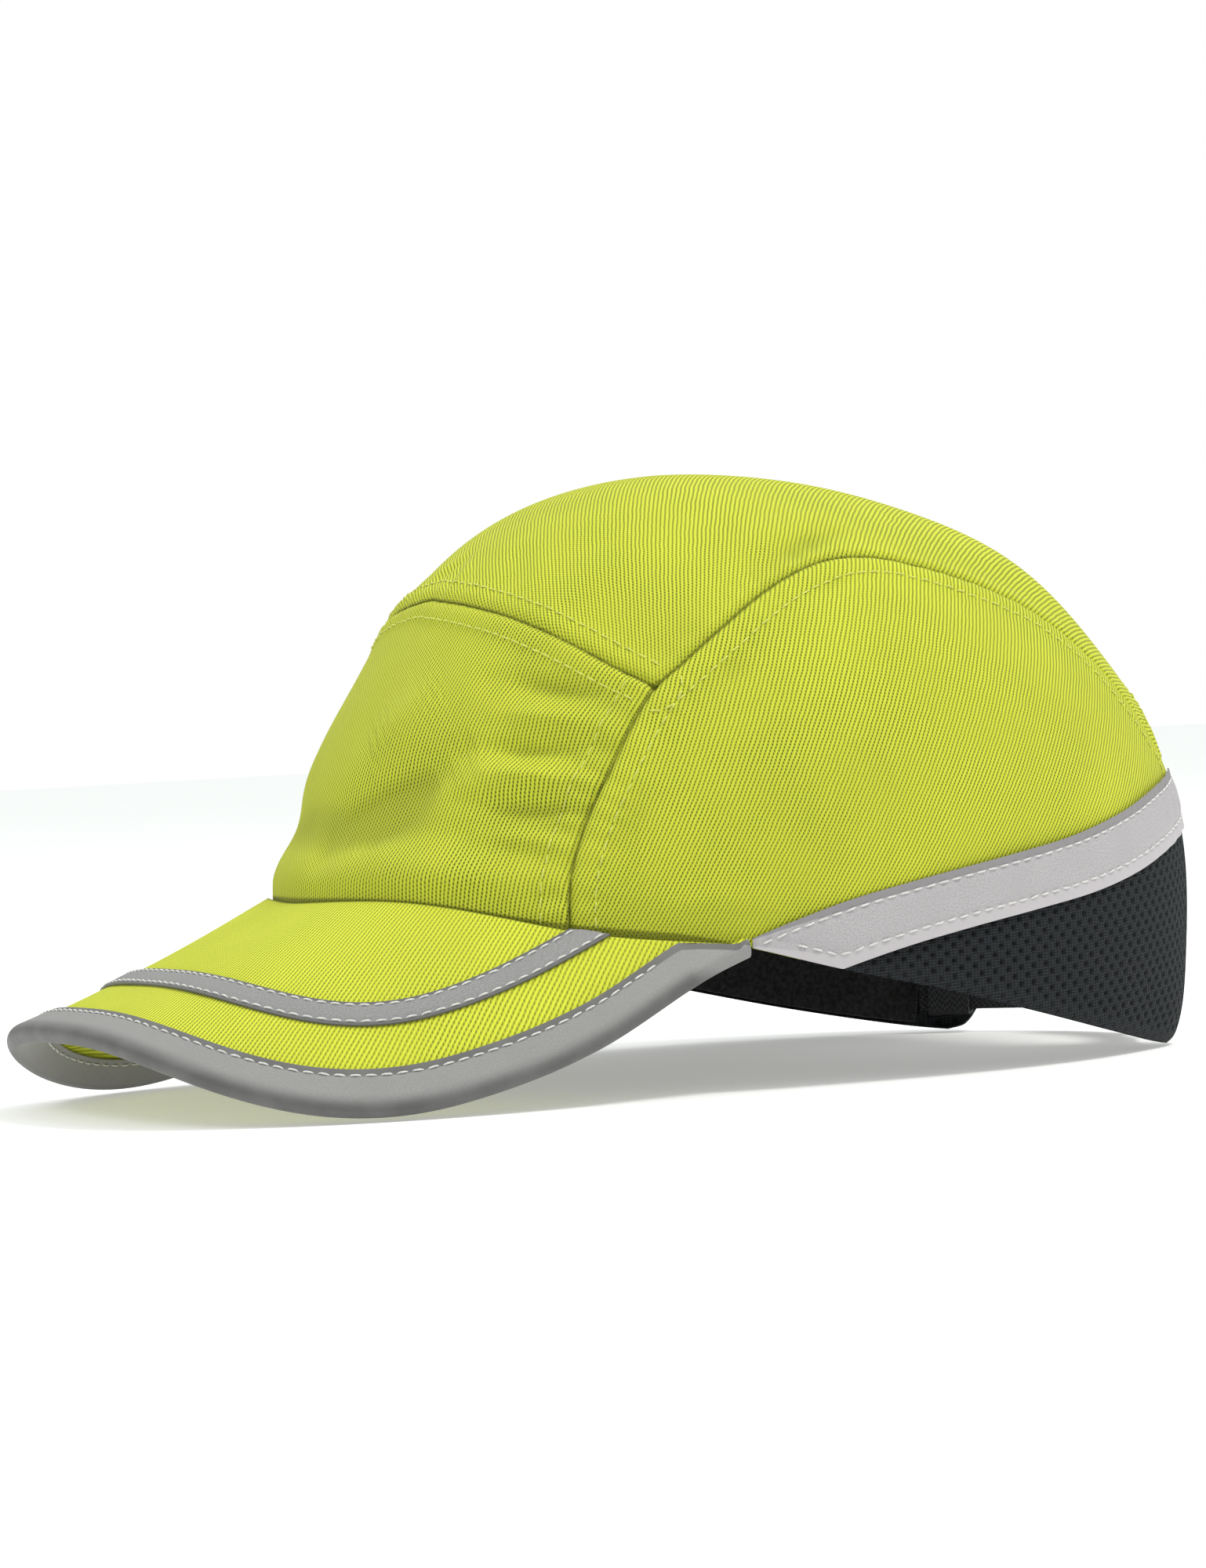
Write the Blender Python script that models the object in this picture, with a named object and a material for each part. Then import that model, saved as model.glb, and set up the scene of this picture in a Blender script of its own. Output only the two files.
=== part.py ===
"""Hi-vis baseball-style bump cap with a lift-out hard shell, standing on its visor and its rear hem.

The front of the cap faces -Y and the wearer's left is +X. Shapes are worked out in millimetres.
Crown pieces are laid out by azimuth and elevation, in degrees, seen from the middle of the head
opening: azimuth -90 is the front, 0 the wearer's left and 90 the rear.
"""

import math

import bmesh
import bpy
import numpy as np

MM = 0.001
GAP = 0.3
SHARP_EDGE = 40
ORIGIN = np.array([0, -33.45, 0])  # what becomes the middle of the footprint

# Crown
HALF_WIDTH = 90.0
HALF_LENGTH = 109.5
CROWN_RISE = 101.8
WIDEST_HEIGHT = 34.64
PLAN_POWER = 2.04
SIDE_POWER = 2.29
FRONT_POWER = 1.80
REAR_POWER = 1.99
TOP_FORWARD = 15.2
REAR_TILT = 0.035
FRONT_FLATNESS = 3.4
FRONT_FLAT_START = 9.0
FRONT_FLAT_SPREAD = 52.0
INSERT_FLATNESS = 3.6
INSERT_FLAT_SPREAD = 85.0
INSERT_FLAT_TOP = 78.0
INSERT_FLAT_FADE = 38.0

# Layers, as distances from the outer face of the cloth, outer face first
PANEL_FACES = (0, -0.9)
TAPE_FACES = (0.75, 0.35)
SEAM_TAPE_FACES = (-1.6, -2.0)
FRONT_SEAM_TAPE_FACES = (-1.9, -2.3)
FACING_FACES = (-1.3, -1.7)
SWEATBAND_FACES = (-1.3, -3.6)
LABEL_FACES = (-1.6, -1.9)
LOOP_DOT_FACES = (-1.5, -2.9)
HOOK_DOT_FACES = (-3.2, -4.5)

# Seams and edges as (azimuth, elevation)
VISOR_CORNER = -48.0
TOP_CORNER = -34.6
OPENING_EDGE = 63.2
HEM_END = 58.4
RIM = (
    (-112, 6.3), (-90, 6.9), (-68, 6.3), (-48, 2.6), (-30, -0.6), (-12, -6.3), (4, -10.8),
    (18, -14.7), (36, -18.8), (50, -20.9), (70, -21.6), (90, -21.6),
)
FRONT_SEAM = ((-48, 2.6), (-47.3, 10), (-44.9, 17.4), (-41.9, 22.8), (-38.2, 28.8), (-34.6, 33.5))
SIDE_SEAM = (
    (-34.6, 33.5), (-23.7, 41), (-12.6, 47.1), (-5, 49.9), (5, 51.9), (16, 51.6), (26.5, 48.6),
    (36.7, 44.4), (45.5, 39.2), (51, 33.5), (55.5, 27), (59.5, 20), (63.2, 13.6),
)
FRONT_TOP = ((0, 50.6), (16, 48.6), (31, 45), (41.5, 40.8), (49.5, 36.6), (55.4, 33.5))
TAPE_TOP = (
    (-26, -1.1), (-19.7, 0.9), (-11, 3.2), (-1.8, 4.8), (16, 7), (26.4, 8.1), (39.5, 10.1),
    (49, 11.8), (64, 13.6),
)
TAPE_BOTTOM = (
    (-26, -9.8), (-12.2, -6), (-3, -4), (8, -2.3), (20, -0.9), (31, 0.3), (41, 1.9), (50, 3.7),
    (64, 6.2),
)
OPENING_TOP = ((63.2, 13.6), (65.5, 18), (70, 21.3), (78, 23.6), (90, 24.6))
MESH_REAR = ((58.4, -21.2), (60.8, -20.4), (62.4, -18), (62.9, -14), (63.2, 0), (63.2, 9.7))
MESH_FRONT_AZIMUTH = -14.0
TAPE_FRONT_AZIMUTH = -24.8
SWEATBAND_END = 54.0
SWEATBAND_RISE = 17.0
SEAM_TAPE_HALF = 3.6
FACING_WIDTH = 5.5
LABEL_AZIMUTHS = (84, 96)
LABEL_ELEVATIONS = (33, 37, 41)

# Visor
VISOR_ROOT_HEIGHT = 42.24
VISOR_SLOPE = 0.479
VISOR_LIFT = 0.0013
VISOR_ARCH = 50.0
VISOR_ARCH_GROWTH = 0.0614
VISOR_ARCH_POWER = 2.9
VISOR_ARCH_WIDTH = 88.0
VISOR_ROOT = -108.3
VISOR_HALF_WIDTH = 85.9
VISOR_REACH = 136.3
VISOR_BACK = -31.1
VISOR_POWER = 3.0
CORNER_LIFT = 2.2
CORNER_TAPER = 1.5
VISOR_END = -40.0
BOARD_HALF = 0.7
COVER_FACES = (1.0, 1.5)
BINDING_FACES = (1.9, 2.3)
BINDING_WIDTH = 8.2
STRIP_BACK_EDGE = (67.5, 69.5, -70.0)
STRIP_FRONT_EDGE = (72.5, 86.5, -60.0)
STRIP_ROOTS = (-75.6, -68.8)
STRIP_FACES = (2.3, 1.9)
EDGE_INSET = 0.9
VISOR_ROOT_AZIMUTH = -25.5
VISOR_ROOT_GAP = 0.6
VISOR_COLUMNS = 32
VISOR_ROWS = 4

# Lift-out shell
SHELL_FACES = (-4.8, -6.8)
SHELL_RIM = ((0, 24.5), (45, 22.5), (90, 19.5), (135, 24), (180, 28))
SHELL_COLUMNS = 40
SHELL_ROWS = 8
PAD_FACES = (-7.3, -12.3)
PADS = {
    "front_pad": (-90, 34, 30, 52),
    "left_side_pad": (0, 34, 27, 46),
    "right_side_pad": (180, 34, 27, 46),
    "rear_pad": (90, 30, 33, 54),
}
CROWN_PAD_EDGE = 64.0
DOT_EDGE = 82.5
DISC_SIDES = 20
TRIM_SECTION = (
    (-4.3, 2.2), (-4.5, 2.2), (-4.5, -0.3), (-7.1, -0.3), (-7.1, 2.2), (-7.3, 2.2), (-7.3, -1.0),
    (-4.3, -1.0),
)

# Size strap
ARC_CENTRE = 35.5
STRAP_BOTTOM = 4.5
STRAP_HEIGHT = 23.0
STRAP_OUTER = 67.2
STRAP = 1.2
PATCH = 0.6
CHANNEL_WALL = 0.8
CHANNEL_ROOM = 0.4
LEFT_ROOT_RADIUS = 68.0

# Places along the strap, in degrees from the rear towards the wearer's left
ROOT_START = -52.0
CHANNEL_SPAN = (-50, -41)
TAIL_ROOT = -30.0
TAIL_END = 12.0
HINGE_GAP = 0.12
HOOK_SPAN = (-8, 11)
LOOP_SPAN = (-11.5, 25)
LEFT_END = -12.0
LEFT_RAMP = 31.0
LEFT_ROOT = 47.0
PATCH_MARGIN = 1.5

LIME = (0.62, 0.72, 0.03)
GREY = (0.45, 0.45, 0.45)
BLACK = (0.015, 0.016, 0.018)


def smooth(x, knots):
    """A smooth curve through the knots, read at x."""
    xs, ys = np.array(knots, float).T
    slopes = np.gradient(ys, xs)
    x = np.clip(np.asarray(x, float), xs[0], xs[-1])
    i = np.clip(np.searchsorted(xs, x) - 1, 0, len(xs) - 2)
    span = xs[i + 1] - xs[i]
    t = (x - xs[i]) / span
    rise = (3 - 2 * t) * t * t
    bend = t * (1 - t) * span * ((1 - t) * slopes[i] - t * slopes[i + 1])
    return ys[i] + (ys[i + 1] - ys[i]) * rise + bend


def direction(azimuth, elevation):
    azimuth, elevation = np.broadcast_arrays(np.radians(azimuth), np.radians(elevation))
    flat = np.cos(elevation)
    return np.stack([flat * np.cos(azimuth), flat * np.sin(azimuth), np.sin(elevation)], -1)


def unit(vectors):
    return vectors / np.linalg.norm(vectors, axis=-1, keepdims=True)


def front_flatness(d):
    """How far the front panel lies inside the round crown."""
    off_front = np.degrees(np.arctan2(np.abs(d[..., 0]), -d[..., 1]))
    elevation = np.degrees(np.arcsin(np.clip(d[..., 2], -1, 1)))
    top = smooth(off_front, FRONT_TOP)
    v = np.clip((elevation - FRONT_FLAT_START) / (top - FRONT_FLAT_START), 0, 1)
    fade = np.clip(1 - (off_front / FRONT_FLAT_SPREAD) ** 4, 0, 1)
    return FRONT_FLATNESS * 4 * v * (1 - v) * fade


def insert_flatness(d):
    """How far the hard shell and its pads lie inside the round crown: as the front panel, with no edge."""
    off_front = np.degrees(np.arctan2(np.abs(d[..., 0]), -d[..., 1]))
    elevation = np.degrees(np.arcsin(np.clip(d[..., 2], -1, 1)))
    around = np.clip(1 - (off_front / INSERT_FLAT_SPREAD) ** 2, 0, 1) ** 2
    up = np.clip((INSERT_FLAT_TOP - elevation) / INSERT_FLAT_FADE, 0, 1)
    return INSERT_FLATNESS * around * up * up * (3 - 2 * up)


def crown_point(d, flatness=front_flatness):
    plan = np.hypot(d[..., 0], d[..., 1]) + 1e-9
    facing = d[..., 1] / plan
    end_power = np.where(facing < 0, FRONT_POWER, REAR_POWER)
    power = SIDE_POWER + (end_power - SIDE_POWER) * facing**2
    across = np.abs(d[..., 0] / HALF_WIDTH) ** PLAN_POWER
    along = np.abs(d[..., 1] / HALF_LENGTH) ** PLAN_POWER
    spread = (across + along) ** (1 / PLAN_POWER)
    climb = np.abs(d[..., 2] / CROWN_RISE)
    reach = (spread**power + climb**power) ** (-1 / power) - flatness(d)
    x, y, z = np.moveaxis(d * reach[..., None], -1, 0)
    y = y - TOP_FORWARD * (np.clip(z, 0, None) / CROWN_RISE) ** 2
    return np.stack([x, y, WIDEST_HEIGHT + z + REAR_TILT * y], -1)


def crown_normal(d, flatness):
    helper = np.where(np.abs(d[..., 2:]) < 0.9, [0.0, 0.0, 1.0], [1.0, 0.0, 0.0])
    first = unit(np.cross(helper, d))
    second = np.cross(d, first)
    step = 0.004
    run, rise = (
        crown_point(unit(d + step * way), flatness) - crown_point(unit(d - step * way), flatness)
        for way in (first, second)
    )
    return unit(np.cross(run, rise))


def crown_layer(d, offset, flatness=front_flatness):
    return crown_point(d, flatness) + offset * crown_normal(d, flatness)


def spline(knots):
    """A curve of directions, from 0 to 1, through (azimuth, elevation) knots."""
    points = np.array(knots, float)
    steps = np.hypot(*np.diff(points, axis=0).T)
    place = np.concatenate([[0], np.cumsum(steps)]) / steps.sum()

    def at(t):
        azimuth = smooth(t, list(zip(place, points[:, 0])))
        elevation = smooth(t, list(zip(place, points[:, 1])))
        return direction(azimuth, elevation)

    return at


def near_side(azimuth):
    """The azimuth folded onto the wearer's left; the cap is the same on both sides."""
    turn = np.radians(azimuth)
    return np.degrees(np.arctan2(np.sin(turn), np.abs(np.cos(turn))))


def rim_elevation(azimuth):
    return smooth(near_side(azimuth), RIM)


def line(start, end, elevation):
    """A curve of directions between two azimuths, at the elevation that the function gives."""

    def at(t):
        azimuth = start + (end - start) * np.asarray(t, float)
        return direction(azimuth, elevation(azimuth))

    return at


def tape_middle(azimuth):
    return (smooth(azimuth, TAPE_TOP) + smooth(azimuth, TAPE_BOTTOM)) / 2


def side_bottom(azimuth):
    """The lower edge of a side panel: the rim, then the seam under the tape."""
    rim = rim_elevation(azimuth)
    return np.where(azimuth < -18, rim, np.maximum(tape_middle(azimuth), rim))


def across(curve):
    """The same curve on the wearer's right."""

    def at(t):
        return curve(t) * [-1, 1, 1]

    return at


def stretch(curve, start, share):
    """Part of a curve, as a curve of its own."""

    def at(t):
        return curve(start + share * np.asarray(t, float))

    return at


def opening_arch(t):
    """The edge of the rear opening, from the wearer's right to the left."""
    arch = spline(OPENING_TOP)
    t = np.asarray(t, float)
    left_half = arch(np.clip(2 - 2 * t, 0, 1))
    right_half = arch(np.clip(2 * t, 0, 1)) * [-1, 1, 1]
    return np.where(t[..., None] < 0.5, right_half, left_half)


def patch(bottom, top, left, right, columns, rows, inset=0.004):
    """A grid of directions inside four curves, held a little off them."""
    u = np.linspace(inset, 1 - inset, columns + 1)
    v = np.linspace(inset, 1 - inset, rows + 1)[:, None]
    low, high = bottom(u)[None], top(u)[None]
    first, last = left(v[:, 0])[:, None], right(v[:, 0])[:, None]
    w, h = u[None, :, None], v[..., None]
    ends = (1 - h) * ((1 - w) * bottom(0.0) + w * bottom(1.0)) + h * ((1 - w) * top(0.0) + w * top(1.0))
    return unit((1 - h) * low + h * high + (1 - w) * first + w * last - ends)


def strip(centre, half_width, count):
    """A band of directions along a curve, half_width in degrees to each side."""
    t = np.linspace(0, 1, count + 1)
    middle = centre(t)
    side = unit(np.cross(middle, np.gradient(middle, axis=0))) * math.radians(half_width)
    return unit(np.stack([middle - side, middle + side]))


def material(name, colour, roughness=0.9, sheen=0.0):
    made = bpy.data.materials.get(name) or bpy.data.materials.new(name)
    made.use_nodes = True
    shader = made.node_tree.nodes["Principled BSDF"]
    shader.inputs["Base Color"].default_value = (*colour, 1)
    shader.inputs["Roughness"].default_value = roughness
    shader.inputs["Sheen Weight"].default_value = sheen
    return made


def add_object(name, points, faces, finish, pivot=(0, 0, 0)):
    """One closed solid, its faces turned outwards, with its origin at pivot (mm)."""
    bm = bmesh.new()
    corners = [bm.verts.new((np.asarray(p) - pivot) * MM) for p in points]
    for face in faces:
        bm.faces.new([corners[i] for i in face])
    bmesh.ops.recalc_face_normals(bm, faces=bm.faces)
    mesh = bpy.data.meshes.new(name)
    bm.to_mesh(mesh)
    bm.free()
    mesh.shade_smooth()
    mesh.set_sharp_from_angle(angle=math.radians(SHARP_EDGE))
    mesh.materials.append(finish)
    made = bpy.data.objects.new(name, mesh)
    made.location = (np.asarray(pivot, float) - ORIGIN) * MM
    bpy.context.scene.collection.objects.link(made)
    return made


def solid_between(name, outer, inner, finish, cells=None, closed=False, **options):
    """A solid between two matching grids. Only the given cells are filled, and closed joins the last column
    to the first."""
    rows, columns = outer.shape[:2]
    count = rows * columns
    used = cells or [(r, c) for r in range(rows - 1) for c in range(columns - (not closed))]
    faces, edges = [], set()
    for r, c in used:
        d = (c + 1) % columns
        ring = [r * columns + c, r * columns + d, (r + 1) * columns + d, (r + 1) * columns + c]
        for corner in ((0, 1, 2), (0, 2, 3)):
            faces += [[ring[i] for i in corner], [ring[i] + count for i in reversed(corner)]]
        for edge in zip(ring, ring[1:] + ring[:1]):
            edges.symmetric_difference_update({tuple(sorted(edge))})
    faces += [[a, b, b + count, a + count] for a, b in sorted(edges)]
    points = np.concatenate([outer.reshape(-1, 3), inner.reshape(-1, 3)])
    kept = sorted({i for face in faces for i in face})
    place = {i: k for k, i in enumerate(kept)}
    return add_object(name, points[kept], [[place[i] for i in f] for f in faces], finish, **options)


def crown_piece(name, directions, faces, finish, flatness=front_flatness):
    outer, inner = (crown_layer(directions, offset, flatness) for offset in faces)
    return solid_between(name, outer, inner, finish)


def both_sides(name, directions, faces, finish):
    crown_piece(name + "_left", directions, faces, finish)
    crown_piece(name + "_right", directions * [-1, 1, 1], faces, finish)


def swept_ring(name, sections, finish, closed=False, **options):
    """A solid swept through sections, each a ring of points."""
    count, corners = sections.shape[:2]
    faces = []
    for s in range(count - (not closed)):
        n = (s + 1) % count
        for c in range(corners):
            d = (c + 1) % corners
            faces.append([s * corners + c, s * corners + d, n * corners + d, n * corners + c])
    if not closed:
        faces += [list(range(corners)), [(count - 1) * corners + c for c in range(corners)]]
    return add_object(name, sections.reshape(-1, 3), faces, finish, **options)


def build_cover(lime, mesh, tape, lining):
    front, side = spline(FRONT_SEAM), spline(SIDE_SEAM)
    front_top = line(-180 - TOP_CORNER, TOP_CORNER, front_top_elevation)
    rim = line(-180 - VISOR_CORNER, VISOR_CORNER, rim_elevation)
    crown_piece("front_panel", patch(rim, front_top, across(front), front, 14, 9), PANEL_FACES, lime)

    crown = patch(front_top, opening_arch, across(side), side, 14, 18)
    crown_piece("crown_panel", crown, PANEL_FACES, lime)

    bottom = line(VISOR_CORNER, OPENING_EDGE, side_bottom)
    rear = spline(((OPENING_EDGE, 9.9), OPENING_TOP[0]))
    both_sides("side_panel", patch(bottom, side, front, rear, 18, 7), PANEL_FACES, lime)

    hem = line(MESH_FRONT_AZIMUTH, HEM_END, rim_elevation)
    seam = line(MESH_FRONT_AZIMUTH, OPENING_EDGE, mesh_top)
    mesh_front = upright(MESH_FRONT_AZIMUTH, rim_elevation, mesh_top)
    both_sides("mesh_panel", patch(hem, seam, mesh_front, spline(MESH_REAR), 12, 5), PANEL_FACES, mesh)

    both_sides("reflective_tape", tape_directions(20, 2), TAPE_FACES, tape)
    side_seam = strip(stretch(side, 0.02, 0.8), SEAM_TAPE_HALF, 16)
    both_sides("seam_tape", side_seam, SEAM_TAPE_FACES, lining)
    front_seam = strip(stretch(front_top, 0.1, 0.8), SEAM_TAPE_HALF, 12)
    crown_piece("front_seam_tape", front_seam, FRONT_SEAM_TAPE_FACES, lining)
    build_opening_facing(lining)


def front_top_elevation(azimuth):
    return smooth(np.abs(azimuth + 90), FRONT_TOP)


def mesh_top(azimuth):
    """The mesh's upper edge, just under the side panel's."""
    return tape_middle(azimuth) - 0.1


def upright(azimuth, low, high):
    """A curve of directions straight up at one azimuth, between two elevations."""
    bottom, top = low(azimuth), high(azimuth)

    def at(t):
        return direction(azimuth, bottom + (top - bottom) * np.asarray(t, float))

    return at


def tape_directions(columns, rows):
    azimuth = np.linspace(TAPE_FRONT_AZIMUTH, OPENING_EDGE + 0.4, columns + 1)
    low = np.maximum(smooth(azimuth, TAPE_BOTTOM), rim_elevation(azimuth) + 0.1)
    high = smooth(azimuth, TAPE_TOP)
    share = np.linspace(0, 1, rows + 1)[:, None]
    return direction(azimuth, low + (high - low) * share)


def build_opening_facing(lining):
    """A tape inside the edge of the rear opening, from hem to hem."""
    edge = np.array([(OPENING_EDGE, e) for e in (-17, -6, 5)] + list(OPENING_TOP))
    edge = np.concatenate([edge, [(180 - a, e) for a, e in edge[-2::-1]]])
    opening_middle = [90, -8]
    away = edge + FACING_WIDTH * unit(edge - opening_middle)
    grid = np.stack([direction(*edge.T), direction(*away.T)])
    crown_piece("opening_facing", grid, FACING_FACES, lining)


def build_band(terry, lining):
    azimuth = np.linspace(-180 - SWEATBAND_END, SWEATBAND_END, 37)
    rise = np.array([0.4, SWEATBAND_RISE / 2, SWEATBAND_RISE])[:, None]
    band = direction(azimuth, rim_elevation(azimuth) + rise)
    crown_piece("sweatband", band, SWEATBAND_FACES, terry)
    label = direction(np.linspace(*LABEL_AZIMUTHS, 4), np.array(LABEL_ELEVATIONS, float)[:, None])
    crown_piece("care_label", label, LABEL_FACES, lining)


def ramp(x, low, high):
    """0 up to low and 1 from high onwards, with a soft rise between."""
    t = np.clip((x - low) / (high - low), 0, 1)
    return t * t * (3 - 2 * t)


def visor_height(x, y):
    ahead = VISOR_ROOT - y
    arch = VISOR_ARCH + VISOR_ARCH_GROWTH * ahead
    fall = arch * np.abs(x / VISOR_ARCH_WIDTH) ** VISOR_ARCH_POWER
    corner = CORNER_LIFT * ramp(np.abs(x), 62, 84) * ramp(y, -92, -48)
    slope = VISOR_SLOPE * ahead - VISOR_LIFT * ahead * np.abs(ahead)
    return VISOR_ROOT_HEIGHT - fall - slope + corner


def visor_normal(x, y):
    step = 0.5
    slope_x = (visor_height(x + step, y) - visor_height(x - step, y)) / (2 * step)
    slope_y = (visor_height(x, y + step) - visor_height(x, y - step)) / (2 * step)
    return unit(np.stack([-slope_x, -slope_y, np.ones_like(slope_x)], -1))


def visor_layer(plan, offset):
    x, y = plan[..., 0], plan[..., 1]
    return np.stack([x, y, visor_height(x, y)], -1) + offset * visor_normal(x, y)


def even(points, count):
    """The same curve with evenly spaced points."""
    steps = np.linalg.norm(np.diff(points, axis=0), axis=1)
    place = np.concatenate([[0], np.cumsum(steps)])
    wanted = np.linspace(0, place[-1], count)
    return np.stack([np.interp(wanted, place, column) for column in points.T], -1)


def rounded_front(half_width, reach, back, end, count):
    """A visor-shaped curve in plan, from the wearer's left round the front to the right."""
    turn = np.linspace(0, math.pi, 2001)
    x = half_width * np.sign(np.cos(turn)) * np.abs(np.cos(turn)) ** (2 / VISOR_POWER)
    y = back - reach * np.sin(turn) ** (2 / VISOR_POWER)
    points = np.stack([x, y], -1)
    return even(points[points[:, 1] <= end], count)


def visor_edge(inset, count):
    """The visor's outline in plan, drawn in a little towards its corners."""
    sizes = (VISOR_HALF_WIDTH - inset, VISOR_REACH - inset, VISOR_BACK, VISOR_END)
    edge = rounded_front(*sizes, count)
    edge[:, 0] -= CORNER_TAPER * np.sign(edge[:, 0]) * ramp(edge[:, 1], -78, -44)
    return edge


def crown_plan(azimuth_start, count, outside):
    """The crown's outline where the visor meets it, pushed outwards."""
    azimuth = np.linspace(azimuth_start, -180 - azimuth_start, 181)
    foot = direction(azimuth, rim_elevation(azimuth) - 1.0)
    return even(crown_layer(foot, outside)[:, :2], count)


def build_visor(lime, board, tape):
    root = crown_plan(VISOR_ROOT_AZIMUTH, VISOR_COLUMNS + 1, VISOR_ROOT_GAP)
    edge = visor_edge(EDGE_INSET, VISOR_COLUMNS + 1)
    share = np.linspace(0, 1, VISOR_ROWS + 1)[:, None, None]
    plan = root * (1 - share) + edge * share
    low, high = COVER_FACES
    layers = {"visor_board": (BOARD_HALF, -BOARD_HALF, board)}
    layers |= {"visor_top_cover": (high, low, lime), "visor_under_cover": (-low, -high, lime)}
    for name, (top, bottom, finish) in layers.items():
        solid_between(name, visor_layer(plan, top), visor_layer(plan, bottom), finish)
    build_visor_binding(tape)
    back = rounded_front(*STRIP_BACK_EDGE, STRIP_ROOTS[0], 29)
    front = rounded_front(*STRIP_FRONT_EDGE, STRIP_ROOTS[1], 29)
    faces = [visor_layer(np.stack([back, front]), offset) for offset in STRIP_FACES]
    solid_between("visor_reflective_strip", *faces, tape)


def build_visor_binding(tape):
    """A tape folded round the visor's edge."""
    edge = visor_edge(0, VISOR_COLUMNS + 1)
    tangent = unit(np.gradient(edge, axis=0))
    inward = np.stack([tangent[:, 1], -tangent[:, 0]], -1)
    inward *= np.sign(np.sum(inward * ([0, -60] - edge), axis=1, keepdims=True))
    ahead = visor_height(*(edge + inward).T) - visor_height(*edge.T)
    flat_share = 1 / np.hypot(1, ahead)
    room = np.linalg.norm(edge, axis=1) * (1 - 1 / clearance(edge)) - EDGE_INSET
    thin, thick = BINDING_FACES
    arc = np.radians(np.linspace(90, 270, 5))
    outer = [(BINDING_WIDTH, thick)] + [(thick * math.cos(a), thick * math.sin(a)) for a in arc]
    inner = [(BINDING_WIDTH, -thin)] + [(thin * math.cos(a), thin * math.sin(a)) for a in arc[::-1]]
    sections = []
    for e, n in outer + [(BINDING_WIDTH, -thick)] + inner + [(BINDING_WIDTH, thin)]:
        shift = np.minimum(e * flat_share, room) if e > 0.5 else e * flat_share
        sections.append(visor_layer(edge + inward * shift[:, None], n))
    swept_ring("visor_edge_binding", np.stack(sections, axis=1), tape)


def clearance(plan):
    """How many times farther out than the crown each plan point lies."""
    azimuth = np.degrees(np.arctan2(plan[:, 1], plan[:, 0]))
    foot = crown_point(direction(azimuth, rim_elevation(azimuth) - 1.0))
    return np.linalg.norm(plan, axis=1) / np.linalg.norm(foot[:, :2], axis=1)


def shell_rim(azimuth):
    off_front = np.abs((np.asarray(azimuth, float) + 270) % 360 - 180)
    return smooth(off_front, SHELL_RIM)


def build_shell(plastic, trim):
    azimuth = np.arange(SHELL_COLUMNS) * 360 / SHELL_COLUMNS
    share = np.linspace(0, 1, SHELL_ROWS + 1)[:, None]
    elevation = shell_rim(azimuth) + (89.0 - shell_rim(azimuth)) * share
    cells = [(r, c) for r in range(SHELL_ROWS) for c in range(SHELL_COLUMNS) if not is_vent(r, c)]
    grid = direction(azimuth, elevation)
    outer, inner = (crown_layer(grid, offset, insert_flatness) for offset in SHELL_FACES)
    solid_between("hard_shell", outer, inner, plastic, cells=cells, closed=True)
    rings = []
    for offset, rise in TRIM_SECTION:
        rings.append(crown_layer(direction(azimuth, shell_rim(azimuth) + rise), offset, insert_flatness))
    swept_ring("shell_rim_trim", np.stack(rings, axis=1), trim, closed=True)


def is_vent(row, column):
    low_vent = row in (2, 3) and column % 4 == 1
    high_vent = row == 5 and column % 8 == 3
    return low_vent or high_vent


def build_pads(foam, hook, loop):
    for name, (middle, half, low, high) in PADS.items():
        azimuth = middle + np.linspace(-half, half, 9)
        rise = np.linspace(low, high, 4)[:, None]
        crown_piece(name, direction(azimuth, rise), PAD_FACES, foam, insert_flatness)
    crown_disc("crown_pad", CROWN_PAD_EDGE, PAD_FACES, foam)
    crown_disc("crown_hook_dot", DOT_EDGE, HOOK_DOT_FACES, hook)
    crown_disc("crown_loop_dot", DOT_EDGE, LOOP_DOT_FACES, loop)


def crown_disc(name, edge, faces, finish):
    """A round piece at the top of the crown."""
    azimuth = np.arange(DISC_SIDES) * 360 / DISC_SIDES
    rings = [direction(azimuth, e) for e in (edge, (edge + 90) / 2)]
    top = direction([0.0], 90.0)
    points = np.concatenate(
        [np.concatenate([crown_layer(d, f, insert_flatness) for d in rings + [top]]) for f in faces]
    )
    half = len(points) // 2
    n, around = DISC_SIDES, ring_pairs(DISC_SIDES)
    cap = [[i, j, j + n, i + n] for i, j in around] + [[i + n, j + n, 2 * n] for i, j in around]
    faces_out = cap + [[i + half for i in face] for face in cap]
    faces_out += [[i, j, j + half, i + half] for i, j in around]
    add_object(name, points, faces_out, finish)


def ring_pairs(count):
    return [(i, (i + 1) % count) for i in range(count)]


def arc_piece(name, angles, outer, thickness, heights, finish, pivot=(0, 0, 0)):
    """An upright band about the strap's centre; angles run from the rear towards the wearer's left."""
    turn = np.radians(angles)
    outer = np.broadcast_to(outer, turn.shape)
    faces = []
    for radius in (outer, outer - thickness):
        plan = np.stack([radius * np.sin(turn), ARC_CENTRE + radius * np.cos(turn)], -1)
        rows = [np.column_stack([plan, np.full(len(turn), height)]) for height in heights]
        faces.append(np.stack(rows))
    return solid_between(name, *faces, finish, pivot=pivot)


def at_angle(angle, radius, height=0.0):
    turn = math.radians(angle)
    return (radius * math.sin(turn), ARC_CENTRE + radius * math.cos(turn), height)


def build_straps(webbing, hook, loop):
    strap_heights = (STRAP_BOTTOM, STRAP_BOTTOM + STRAP_HEIGHT)
    patch_heights = (strap_heights[0] + PATCH_MARGIN, strap_heights[1] - PATCH_MARGIN)
    build_right_strap(strap_heights, patch_heights, webbing, hook)
    build_left_strap(strap_heights, patch_heights, webbing, loop)
    build_channel(webbing)


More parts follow.
